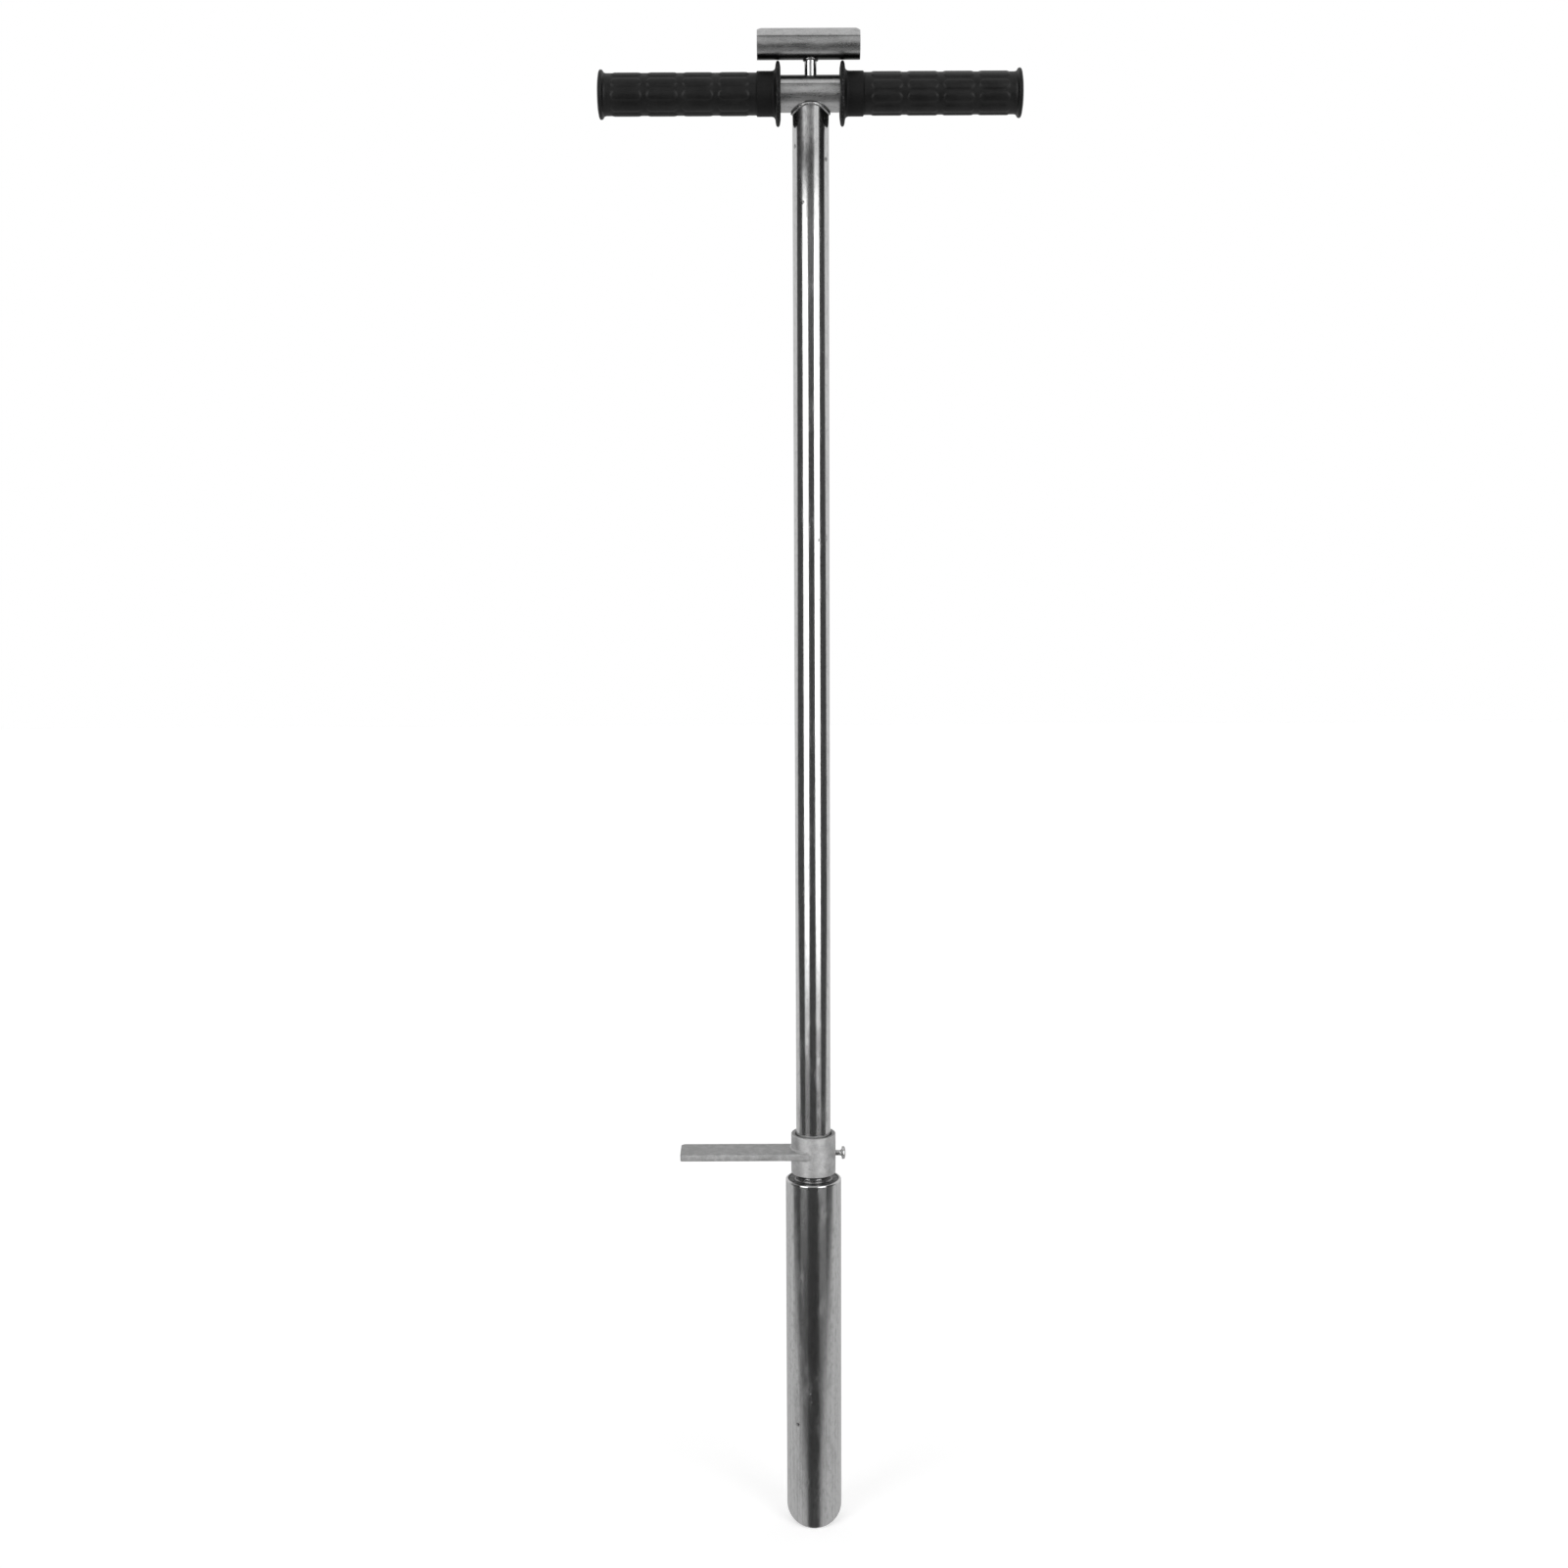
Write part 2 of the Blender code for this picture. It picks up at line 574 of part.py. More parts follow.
def step_weld():
    """The bead round the bar's end, where it meets the collar."""
    back_y = min(STEP_FRONT_Y + STEP_WIDTH, 0.9 * COLLAR_R)
    top = STEP_Z + STEP_THICKNESS / 2
    bottom = STEP_Z - STEP_THICKNESS / 2
    front_angle = turn_angle(-sqrt(COLLAR_R ** 2 - STEP_FRONT_Y ** 2), STEP_FRONT_Y)
    back_angle = turn_angle(-sqrt(COLLAR_R ** 2 - back_y ** 2), back_y)
    count = BEAD_POINTS // 2
    points = []
    radii = []
    for height, start, end in ((top, front_angle, back_angle), (bottom, back_angle, front_angle)):
        for i in range(count):
            angle = start + (end - start) * i / (count - 1)
            share = (front_angle - angle) / (front_angle - back_angle)
            points.append((COLLAR_R * cos(angle), COLLAR_R * sin(angle), height))
            radii.append(STEP_WELD_FRONT + (STEP_WELD - STEP_WELD_FRONT) * min(share / WELD_TAPER, 1))
    weld = bead("step_weld", points, radii)
    depth = min(STEP_GROOVE, STEP_THICKNESS / 4)
    low = (-STEP_REACH, STEP_FRONT_Y - GAP, bottom + depth - GAP)
    high = (0, STEP_FRONT_Y + STEP_WIDTH + GAP, top - depth + GAP)
    bar_space = add_cutter("weld_step", box_mesh("weld_step", low, high))
    cut(weld, upright_cutter("weld_collar", COLLAR_R + GAP, 0, HANDLE_Z, 2 * SHAFT_STEPS), bar_space)


def clamp_screw():
    """The screw that clamps the collar: a domed head with a hexagon socket, and a bare shank."""
    head_z = SCREW_HEAD_X
    top = head_z + SCREW_HEAD_HEIGHT
    side = top - SCREW_DOME
    outline = [(0, top)]
    outline += [(SCREW_HEAD_R * sin(a), side + SCREW_DOME * cos(a)) for a in (pi / 8, pi / 4, 3 * pi / 8)]
    outline += [(SCREW_HEAD_R, side), (SCREW_HEAD_R, head_z + 0.1 * SCREW_HEAD_HEIGHT),
                (SCREW_HEAD_R * 0.93, head_z), (SCREW_R + SCREW_FLARE, head_z),
                (SCREW_R + 0.3 * SCREW_FLARE, head_z - 0.5 * SCREW_FLARE),
                (SCREW_R, head_z - 1.4 * SCREW_FLARE), (SCREW_R, SCREW_TIP_X + 0.4 * SCREW_R),
                (0.6 * SCREW_R, SCREW_TIP_X), (0, SCREW_TIP_X)]
    screw = turned("clamp_screw", outline, "chrome")
    lay_along_x(screw, 0, CLAMP_Z)
    hexagon_r = HEX_WIDTH / 2 / cos(pi / 6)
    socket = upright_cutter("hex_socket", hexagon_r, top - HEX_DEPTH, top + HEX_DEPTH, 6)
    lay_along_x(socket, 0, CLAMP_Z)
    cut(screw, socket)


def group_moving(name, members, travel):
    """Parent the pieces that slide together to an empty on the axis, which holds how far they travel."""
    empty = bpy.data.objects.new(name, None)
    empty.empty_display_size = TUBE_R
    empty["travel_down_m"], empty["travel_up_m"] = travel
    bpy.data.collections[PARTS_NAME].objects.link(empty)
    for member in members:
        bpy.data.objects[member].parent = empty


def smooth_all():
    """Settle each piece's modifiers and shade its round faces smooth."""
    for obj in bpy.data.collections[PARTS_NAME].objects:
        if obj.type != "MESH":
            continue
        bake(obj)
        obj.data.shade_smooth()
        obj.data.set_sharp_from_angle(angle=radians(32))


clear_scene()
make_collection(PARTS_NAME)
make_collection(CUTTERS_NAME)
sampling_tube()
shoulder()
shaft_tube()
rod_guide()
handle_tube()
handle_weld()
grip("grip_left", -1)
grip("grip_right", 1)
ejector_bar()
ejector_rod()
ejector_weld()
ejector_piston()
step_collar()
step_bar()
step_weld()
clamp_screw()
smooth_all()
group_moving("ejector", EJECTOR_PIECES, (0.0, EJECTOR_TRAVEL))
group_moving("foot_step", STEP_PIECES, (-STEP_LOWER, STEP_RAISE))
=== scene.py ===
"""The looks of a hand-pushed soil probe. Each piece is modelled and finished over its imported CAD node."""
from math import cos, degrees, pi, radians, sin, sqrt

import bmesh
import bpy
from mathutils import Matrix


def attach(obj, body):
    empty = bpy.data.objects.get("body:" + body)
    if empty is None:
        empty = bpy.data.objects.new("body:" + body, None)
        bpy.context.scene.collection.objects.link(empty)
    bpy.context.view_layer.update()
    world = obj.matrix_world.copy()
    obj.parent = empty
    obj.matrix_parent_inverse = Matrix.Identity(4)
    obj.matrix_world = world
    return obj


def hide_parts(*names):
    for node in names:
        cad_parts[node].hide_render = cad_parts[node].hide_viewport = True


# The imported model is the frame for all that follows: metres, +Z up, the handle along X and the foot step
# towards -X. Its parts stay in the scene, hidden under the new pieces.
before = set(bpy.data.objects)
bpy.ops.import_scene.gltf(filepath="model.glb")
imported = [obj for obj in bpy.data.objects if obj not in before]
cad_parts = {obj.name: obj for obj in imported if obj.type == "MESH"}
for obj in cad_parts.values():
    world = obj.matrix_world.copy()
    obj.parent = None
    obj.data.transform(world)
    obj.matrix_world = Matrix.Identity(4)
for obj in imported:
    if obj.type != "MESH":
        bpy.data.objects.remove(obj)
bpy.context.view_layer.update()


# The camera stands 1.8 m in front of the probe and a little lower than its handle. It looks ten degrees
# down through a slightly long lens, and is a quarter of a degree out of level.
CAMERA_PLACE = (-0.0206, -1.7903, 0.8854)
PITCH = radians(10.04)
ROLL = radians(0.27)
FOCAL_LENGTH = 57.59
FILM_WIDTH = 36
bpy.context.scene.view_settings.view_transform = "Standard"
bpy.ops.object.camera_add()
camera = bpy.context.object
camera.data.lens = FOCAL_LENGTH
camera.data.sensor_width = FILM_WIDTH
camera.matrix_world = (Matrix.Translation(CAMERA_PLACE)
                       @ Matrix.Rotation(pi / 2 - PITCH, 4, "X") @ Matrix.Rotation(-ROLL, 4, "Z"))
bpy.context.scene.camera = camera


# The studio is a white room. Two tall lamps stand left and right of the camera with a dark gap between
# them, a wide lamp hangs overhead, and the pale floor is dark near the camera, with a faint pool of light
# on each side. Directions are in degrees as the probe sees them, and each pair of them is a soft edge.
LAMP_LEVEL = 2.2
GAP_LEVEL = 0.06
CAMERA_WALL_LEVEL = 0.32
OVERHEAD_LEVEL = 0.74
WALL_LEVEL = 0.64
FLOOR_LEVEL = 0.49
NEAR_FLOOR_LEVEL = 0.07
RIGHT_POOL_LEVEL = 0.07
LEFT_POOL_LEVEL = 0.012
LEFT_STRIP_LEVEL = 0.31
ROOM_TURN = 2
LAMP_INSIDE = (17, 21)
LAMP_OUTSIDE = (51, 56)
LAMP_FOOT = (-15.2, -13.2)
LAMP_HEAD = (46, 50)
CAMERA_WALL_SIDE = (16, 20)
CAMERA_WALL_FOOT = (1, 5)
CAMERA_WALL_HEAD = (44, 48)
POOL_INSIDE = (20, 32)
POOL_OUTSIDE = (48, 60)
POOL_NEAR = (-26, -24)
POOL_FAR = (-17, -15)
STRIP_NEAR = (-19.9, -19.3)
STRIP_FAR = (-19, -18.4)
NEAR_FLOOR_NEAR = (-48, -38)
NEAR_FLOOR_FAR = (-29, -27)
WALL_FOOT = (-20, -14)
OVERHEAD_EDGE = (56, 59)
EDGE_OF_LIGHT = ((-90, 0), (-64, 0), (-58, 8), (-30, 18), (-25.9, 29), (-25.3, 35), (-24.3, 44), (-23.2, 52),
                 (-22.1, 61), (-21.1, 73), (-20.2, 82), (-19.3, 88), (-16.7, 98), (-12.5, 113), (-8, 107),
                 (-4, 102), (4, 96), (90, 95))


class Wire:
    """One output of a shader node. Arithmetic on it adds Math nodes to its tree."""

    def __init__(self, tree, socket=None):
        self.tree = tree
        self.socket = socket

    def node(self, kind, settings, sockets, out=0):
        """Add a node: its settings first, then the values or wires of its input sockets."""
        new = self.tree.nodes.new("ShaderNode" + kind)
        for name, value in settings.items():
            if name == "stops":
                new.color_ramp.elements.remove(new.color_ramp.elements[0])
                new.color_ramp.elements[0].position = value[0][0]
                for position, _ in value[1:]:
                    new.color_ramp.elements.new(position)
                for stop, (_, level) in zip(new.color_ramp.elements, value):
                    stop.color = (level, level, level, 1)
            else:
                setattr(new, name, value)
        for name, value in sockets.items():
            if isinstance(value, Wire):
                self.tree.links.new(value.socket, new.inputs[name])
            else:
                new.inputs[name].default_value = value
        return Wire(self.tree, new.outputs[out] if len(new.outputs) else None)

    def other(self, name):
        """Another output of the same node."""
        return Wire(self.tree, self.socket.node.outputs[name])

    def maths(self, operation, *values):
        return self.node("Math", {"operation": operation}, dict(enumerate(values)))

    def between(self, low, high):
        """0 below the low value and 1 over the high one, with a smooth step."""
        sockets = {"Value": self, "From Min": low, "From Max": high}
        return self.node("MapRange", {"interpolation_type": "SMOOTHSTEP"}, sockets)

    def stretched(self, x, y, z):
        return self.node("VectorMath", {"operation": "MULTIPLY"}, {0: self, 1: (x, y, z)})

    def noise(self, scale, detail, roughness):
        return self.node("TexNoise", {}, {"Vector": self, "Scale": scale, "Detail": detail,
                                          "Roughness": roughness})

    def __add__(self, other):
        return self.maths("ADD", self, other)

    def __sub__(self, other):
        return self.maths("SUBTRACT", self, other)

    def __rsub__(self, other):
        return self.maths("SUBTRACT", other, self)

    def __mul__(self, other):
        return self.maths("MULTIPLY", self, other)

    def __truediv__(self, other):
        return self.maths("DIVIDE", self, other)

    __radd__ = __add__
    __rmul__ = __mul__


world = bpy.data.worlds.new("studio")
bpy.context.scene.world = world
world.use_nodes = True
world.node_tree.nodes.clear()
studio = Wire(world.node_tree)
across = studio.node("SeparateXYZ", {}, {0: studio.node("TexCoord", {}, {}, "Generated")})
side = studio.maths("ARCTAN2", across, across.other("Y") * -1) * degrees(1) + ROOM_TURN
turn = studio.maths("ABSOLUTE", side)
rise = studio.maths("ARCSINE", across.other("Z")) * degrees(1)
inner = (turn + studio.maths("MINIMUM", rise, 0) * 0.25
         - studio.maths("MINIMUM", studio.maths("MAXIMUM", rise, 0) * 1.2, 4))
lamps = (inner.between(*LAMP_INSIDE) * (1 - turn.between(*LAMP_OUTSIDE))
         * rise.between(*LAMP_FOOT) * (1 - rise.between(*LAMP_HEAD)))
camera_wall = ((1 - turn.between(*CAMERA_WALL_SIDE)) * rise.between(*CAMERA_WALL_FOOT)
               * (1 - rise.between(*CAMERA_WALL_HEAD)))

# The left pool has a narrow bright strip across it. Below the strip the gap is darker, and the dark part of
# the floor is nine degrees wider on the left.
right = side.between(-5, 5)
right_pool = RIGHT_POOL_LEVEL + RIGHT_POOL_LEVEL * rise.between(-20.6, -19.8)
left_pool = LEFT_POOL_LEVEL + LEFT_STRIP_LEVEL * rise.between(*STRIP_NEAR) * (1 - rise.between(*STRIP_FAR))
low_left = (1 - right) * rise.between(*POOL_NEAR) * (1 - rise.between(-20.4, -19.4))
below = rise.between(-28, -25.4) * (1 - rise.between(*STRIP_NEAR))
pool = ((right * right_pool + (1 - right) * left_pool)
        * turn.between(*POOL_INSIDE) * (1 - turn.between(*POOL_OUTSIDE))
        * rise.between(*POOL_NEAR) * (1 - rise.between(*POOL_FAR)))

# The edge of light gives, for each height, how far round from the camera the white room begins.
stops = [((height + 90) / 180, far / 180) for height, far in EDGE_OF_LIGHT]
edge = studio.node("ValToRGB", {"stops": stops}, {0: rise / 180 + 0.5}) * 180
near_floor = NEAR_FLOOR_LEVEL * rise.between(*NEAR_FLOOR_NEAR) * (1 - rise.between(*NEAR_FLOOR_FAR))
beyond = (turn - edge - low_left * 9).between(-3, 3)
beyond_level = FLOOR_LEVEL + (WALL_LEVEL - FLOOR_LEVEL) * rise.between(*WALL_FOOT)
overhead = rise.between(*OVERHEAD_EDGE)
level = (GAP_LEVEL * (1 - 0.4 * below) + lamps * LAMP_LEVEL + camera_wall * CAMERA_WALL_LEVEL
         + pool + near_floor)
level = level * (1 - beyond) + beyond * beyond_level
level = level * (1 - overhead) + overhead * OVERHEAD_LEVEL
seen = studio.node("LightPath", {}, {}, "Is Camera Ray")
level = level * (1 - seen) + seen
studio.node("OutputWorld", {}, {"Surface": studio.node("Background", {}, {"Color": level})})


# The floor is one pale sheet. The camera sees it as white as the room behind it, apart from the probe's
# soft shadow, and polished steel shows the room's own lower half in its place.
FLOOR_SIZE = 8
FLOOR_GLOW = 0.5
bpy.ops.mesh.primitive_plane_add(size=FLOOR_SIZE)
floor = bpy.context.object
floor.name = "floor"
paper = bpy.data.materials.new("paper")
paper.use_nodes = True
paper.node_tree.nodes.clear()
sheet = Wire(paper.node_tree)
ray = sheet.node("LightPath", {}, {}, "Is Camera Ray")
matt = sheet.node("BsdfDiffuse", {}, {"Color": (0.8, 0.8, 0.8, 1)})
glow = sheet.node("Emission", {}, {"Color": (1, 1, 1, 1), "Strength": ray * FLOOR_GLOW})
lit = sheet.node("AddShader", {}, {0: matt, 1: glow})
clear = sheet.node("BsdfTransparent", {}, {})
sheet.node("OutputMaterial", {}, {"Surface": sheet.node(
    "MixShader", {}, {0: ray.other("Is Glossy Ray"), 1: lit, 2: clear})})
floor.data.materials.append(paper)


# The sampling tube is polished steel tube, rolled thin. Its mouth is cut at a slant and ground outside to
# an edge, and its top edge is rounded over. Soil has scratched it and left one small pit.
TUBE_R = 0.02065
TUBE_BORE = 0.019
TUBE_TOP = 0.2704
ROUNDING = 0.0009
UNCUT_END = -0.01
MOUTH_SLANT = radians(30)
MOUTH_FACING = (0, -sin(MOUTH_SLANT), cos(MOUTH_SLANT))
MOUTH_BEVEL = 0.0009
QUARTER_TURN = (0, pi / 12, pi / 6, pi / 4, pi / 3, 5 * pi / 12, pi / 2)
OUT_OF_REACH = 9.0


def start_piece(name):
    """Name the piece that was just added."""
    piece = bpy.context.object
    piece.name = piece.data.name = name
    return piece


def lathe(name, outline, steps):
    """Draw a closed outline of (radius, height) points, and turn it round Z."""
    bpy.ops.object.select_all(action="DESELECT")
    bpy.ops.mesh.primitive_plane_add(size=0.01)
    piece = start_piece(name)
    bpy.ops.object.mode_set(mode="EDIT")
    bpy.ops.mesh.select_mode(type="VERT")
    bpy.ops.mesh.merge(type="CENTER")
    bpy.ops.transform.translate(value=(outline[0][0], 0, outline[0][1]))
    for (last_r, last_z), (r, z) in zip(outline, outline[1:]):
        bpy.ops.mesh.extrude_vertices_move(TRANSFORM_OT_translate={"value": (r - last_r, 0, z - last_z)})
    bpy.ops.mesh.select_all(action="SELECT")
    bpy.ops.mesh.spin(steps=steps, angle=2 * pi, center=(0, 0, 0), axis=(0, 0, 1))
    bpy.ops.mesh.select_all(action="SELECT")
    bpy.ops.mesh.remove_doubles(threshold=0.000002)
    bpy.ops.mesh.normals_make_consistent(inside=False)
    bpy.ops.object.mode_set(mode="OBJECT")
    return piece


def ring(outer, inner, bottom, top, edge=0.0002):
    """Outline of a plain tube, with its four edges broken."""
    return [(outer, top - edge), (outer, bottom + edge), (outer - edge, bottom), (inner + edge, bottom),
            (inner, bottom + edge), (inner, top - edge), (inner + edge, top), (outer - edge, top),
            (outer, top - edge)]


def pick_edges(piece, test):
    """In edit mode, select the edges whose two ends both pass a test of their place."""
    bpy.ops.mesh.select_mode(type="EDGE")
    bpy.ops.mesh.select_all(action="DESELECT")
    mesh = bmesh.from_edit_mesh(piece.data)
    for line in mesh.edges:
        line.select_set(all(test(end.co) for end in line.verts))
    bmesh.update_edit_mesh(piece.data)


def take_up(piece):
    """Make a piece the only one selected."""
    bpy.ops.object.select_all(action="DESELECT")
    piece.select_set(True)
    bpy.context.view_layer.objects.active = piece


def dress(piece, material, body, node):
    """Smooth a finished piece, give it its material, and put it in the place of its CAD node."""
    take_up(piece)
    bpy.ops.object.shade_smooth_by_angle(angle=radians(30))
    piece.data.materials.clear()
    piece.data.materials.append(material)
    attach(piece, body)
    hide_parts(node)


def start_finish(name):
    """An empty material, and the wire of its Object coordinates."""
    material = bpy.data.materials.new(name)
    material.use_nodes = True
    material.node_tree.nodes.clear()
    return material, Wire(material.node_tree).node("TexCoord", {}, {}, "Object")


def end_finish(place, sockets):
    """Close a material with the shader that has these sockets."""
    place.node("OutputMaterial", {}, {"Surface": place.node("BsdfPrincipled", {}, sockets)})


def mark(place, centre, radius):
    """A soft round spot at a point of a piece."""
    away = place.node("VectorMath", {"operation": "DISTANCE"}, {0: place, 1: centre}, "Value")
    return 1 - away.between(radius * 0.4, radius)


def polished_steel(name, spots, film_from=OUT_OF_REACH, painted_shadow_ring_at=OUT_OF_REACH):
    """Polished tube with drawing lines along it. Each spot is a pit or smear: its place, radius and depth.
    Welding left a grey film on its front above film_from. The last argument gives the height of a thin ring
    painted dark as the shadow under the collar."""
    material, place = start_finish(name)
    height = place.node("SeparateXYZ", {}, {0: place}, "Z")
    x = height.other("X")
    width = place.maths("ABSOLUTE", x)
    lines = place.stretched(1, 1, 0.006).noise(1400, 4, 0.6)
    bands = place.stretched(1, 1, 0.02).noise(260, 2, 0.5)
    haze = place.stretched(1, 1, 0.30).noise(120, 5, 0.65)
    grit = place.stretched(1, 1, 0.45).noise(900, 3, 0.7)
    mottle = place.stretched(1, 1, 0.5).noise(420, 4, 0.7)
    uneven = height + haze * 0.03 - 0.015
    front = 1 - width.between(0.0080, 0.0095)
    heat = uneven.between(film_from - 0.04, film_from + 0.04) * front
    pale = uneven.between(film_from + 0.030, film_from + 0.052) * x.between(-0.0072, -0.0038)
    film = uneven.between(film_from, film_from + 0.034) * front * (1 - x.between(0.0005, 0.0035))
    # A thin ring at the last argument's height is painted dark as the collar's shadow on the shaft.
    painted_shadow_ring = 1 - place.maths("ABSOLUTE", height - painted_shadow_ring_at).between(0.0006, 0.0011)
    dirt = haze.between(0.46, 0.74) * 0.6
    specks = grit.between(0.60, 0.74) * dirt
    rough = 0.075 + 0.05 * lines + 0.06 * bands + 0.15 * dirt + 0.25 * specks + 0.04 * heat + 0.22 * film
    tone = (0.82 - 0.10 * dirt - 0.09 * lines.between(0.35, 0.7) - 0.12 * mottle.between(0.45, 0.7)
            - 0.16 * film * mottle.between(0.4, 0.62))
    tone = tone * (1 - 0.68 * heat) * (1 - 0.4 * film) * (1 + 1.7 * film * pale) * (1 - 0.8 * painted_shadow_ring)
    relief = lines * 0.5 + bands * 0.4 + specks * 0.5 + mottle * film
    for centre, radius, depth in spots:
        spot = mark(place, centre, radius) * (0.2 + 0.8 * grit.between(0.35, 0.6))
        rough = rough + spot * depth * 0.5
        tone = tone - spot * depth
        relief = relief - spot * 0.3
    bump = place.node("Bump", {}, {"Height": relief, "Strength": 0.12, "Distance": 0.0002})
    end_finish(place, {"Base Color": tone, "Roughness": rough, "Metallic": 1.0, "Normal": bump})
    return material


rounding = [(TUBE_R - ROUNDING + ROUNDING * sin(a), TUBE_TOP - ROUNDING + ROUNDING * cos(a))
            for a in QUARTER_TURN]
walls = [(TUBE_R, z) for z in (0.2690, 0.2660, 0.24, 0.18, 0.12, 0.06, UNCUT_END)]
outline = rounding + walls + [(TUBE_BORE, UNCUT_END), (TUBE_BORE, TUBE_TOP), rounding[0]]
core_tube = lathe("core_tube", outline, 144)
bpy.ops.object.mode_set(mode="EDIT")
bpy.ops.mesh.select_all(action="SELECT")
bpy.ops.mesh.bisect(plane_co=(0, -TUBE_R, 0), plane_no=MOUTH_FACING, clear_inner=True)
bpy.ops.mesh.bridge_edge_loops()


def on_mouth(spot):
    """On the outer edge of the slanted mouth."""
    off = (spot.z * cos(MOUTH_SLANT)) - (spot.y + TUBE_R) * sin(MOUTH_SLANT)
    return abs(off) < 0.00001 and spot.xy.length > (TUBE_R + TUBE_BORE) / 2


# Two rings of edges behind the bevel keep its shading off the long wall.
pick_edges(core_tube, on_mouth)
bpy.ops.mesh.bevel(offset=MOUTH_BEVEL, segments=3, profile=0.6)
for lift in (0.0012, 0.0020):
    bpy.ops.mesh.select_all(action="SELECT")
    bpy.ops.mesh.bisect(plane_co=(0, -TUBE_R, lift), plane_no=MOUTH_FACING)
bpy.ops.object.mode_set(mode="OBJECT")
tube_steel = polished_steel("scoured_steel", [((-0.0124, -0.0165, 0.0820), 0.0019, 0.72)])
dress(core_tube, tube_steel, "probe", "sampling_tube")


# A steel disc closes the tube's top round the shaft, a little below its rim. A ground fillet of weld runs
# round the shaft on it, and the heat has burnt them both dark.
SHAFT_R = 0.0127
DISC_LOW = 0.264
DISC_HIGH = 0.2696
WELD_LEG = 0.0012
WELD_FOOT = 0.2697
CLEAR = 0.0003
BITE = 0.0001


def weld_steel(name, shade, dark, gloss):
    """Steel that was melted and then brushed: bright, with dark tints and small ripples."""
    material, place = start_finish(name)
    tint = place.noise(300, 3, 0.6)
    grain = place.noise(2200, 3, 0.6)
    tone = shade - dark * tint.between(0.42, 0.70)
    rough = gloss + 0.10 * grain + 0.12 * tint
    bump = place.node("Bump", {}, {"Height": grain + tint * 2, "Strength": 0.2, "Distance": 0.0003})
    end_finish(place, {"Base Color": tone, "Roughness": rough, "Metallic": 1.0, "Normal": bump})
    return material


scaled_steel = weld_steel("scaled_steel", 0.24, 0.14, 0.42)
disc = lathe("tube_shoulder", ring(TUBE_BORE - 0.00005, SHAFT_R + CLEAR, DISC_LOW, DISC_HIGH), 128)
dress(disc, scaled_steel, "probe", "shoulder_disc")

weld_r = SHAFT_R + BITE
hollow = [(weld_r + WELD_LEG - WELD_LEG * sin(a), WELD_FOOT + WELD_LEG - WELD_LEG * cos(a))
          for a in reversed(QUARTER_TURN)]
fillet = lathe("shoulder_fillet", hollow + [(weld_r, WELD_FOOT), hollow[0]], 96)
burnt_steel = weld_steel("burnt_steel", 0.34, 0.16, 0.16)
dress(fillet, burnt_steel, "probe", "shoulder_weld")


# The shaft is a one-inch polished tube. Its top is trimmed to two ears, and cut to a saddle that fits the
# round of the handle. A nylon bush in its foot guides the ejector's rod.
HANDLE_Z = 1.0528
HANDLE_R = 0.0127
TUBE_WALL = 0.002
EARS_BELOW_HANDLE = 0.0076
ROD_HOLE = 0.00455
BUSH_TOP = 0.282
THROUGH = 0.06


def add_cylinder(radius, length, centre, along_x=False, vertices=128):
    """Add a plain cylinder along Z or X, as a start or as a cutter."""
    bpy.ops.object.select_all(action="DESELECT")
    turned = (0, pi / 2, 0) if along_x else (0, 0, 0)
    bpy.ops.mesh.primitive_cylinder_add(vertices=vertices, radius=radius, depth=length, location=centre,
                                        rotation=turned)
    return bpy.context.object


def carve(piece, tool, operation="DIFFERENCE"):
    """Cut a piece with a tool, or join them or keep what they share, and throw the tool away."""
    take_up(piece)
    cut = piece.modifiers.new("cut", "BOOLEAN")
    cut.operation = operation
    cut.solver = "EXACT"
    cut.object = tool
    bpy.ops.object.modifier_apply(modifier=cut.name)
    bpy.data.objects.remove(tool)


def settle(piece):
    """Put a piece's place and turn into its mesh."""
    take_up(piece)
    bpy.ops.object.transform_apply(location=True, rotation=True, scale=True)


ears_top = HANDLE_Z - EARS_BELOW_HANDLE
shaft = lathe("long_shaft", ring(SHAFT_R, SHAFT_R - TUBE_WALL, DISC_LOW, ears_top), 128)
carve(shaft, add_cylinder(HANDLE_R + CLEAR, THROUGH, (0, 0, HANDLE_Z), True))
# A thin ring just under the collar, at 0.2738, is painted dark as the collar's shadow on the shaft.
shaft_steel = polished_steel("drawn_steel", [
    ((0.0095, -0.0084, 0.8694), 0.0070, 0.10), ((0.0047, -0.0118, 0.7457), 0.0018, 0.35),
    ((0.0100, -0.0078, 0.7471), 0.0035, 0.25), ((0.0060, -0.0112, 0.7032), 0.0018, 0.25),
    ((-0.0110, -0.0064, 1.0170), 0.0021, 0.66), ((0.0105, -0.0072, 1.0083), 0.0021, 0.66),
    ((-0.0059, -0.0112, 0.9791), 0.0019, 0.55), ((0.0031, -0.0123, 0.3257), 0.0024, 0.08)],
    film_from=0.978, painted_shadow_ring_at=0.2738)
dress(shaft, shaft_steel, "probe", "shaft_tube")


def nylon(name):
    """Turned nylon, off white, with faint tool rings."""
    material, place = start_finish(name)
    rings = place.stretched(0.05, 0.05, 1).noise(2500, 2, 0.5)
    dirt = place.noise(180, 4, 0.6)
    tone = 0.66 - 0.14 * dirt.between(0.45, 0.75)
    bump = place.node("Bump", {}, {"Height": rings, "Strength": 0.15, "Distance": 0.0002})
    end_finish(place, {"Base Color": tone, "Roughness": 0.42 + 0.15 * dirt, "Normal": bump})
    return material


turned_nylon = nylon("turned_nylon")
bush = lathe("rod_bush", ring(SHAFT_R - 0.0023, ROD_HOLE, DISC_LOW, BUSH_TOP, 0.0004), 64)
dress(bush, turned_nylon, "probe", "rod_guide")


# The handle is a one-inch tube across the shaft's top, brushed dull, with smears of the bench on it and its
# top painted dark as a reflection of the bar's dark underside. It is drilled right through for the ejector's
# rod.
HANDLE_HALF = 0.14395


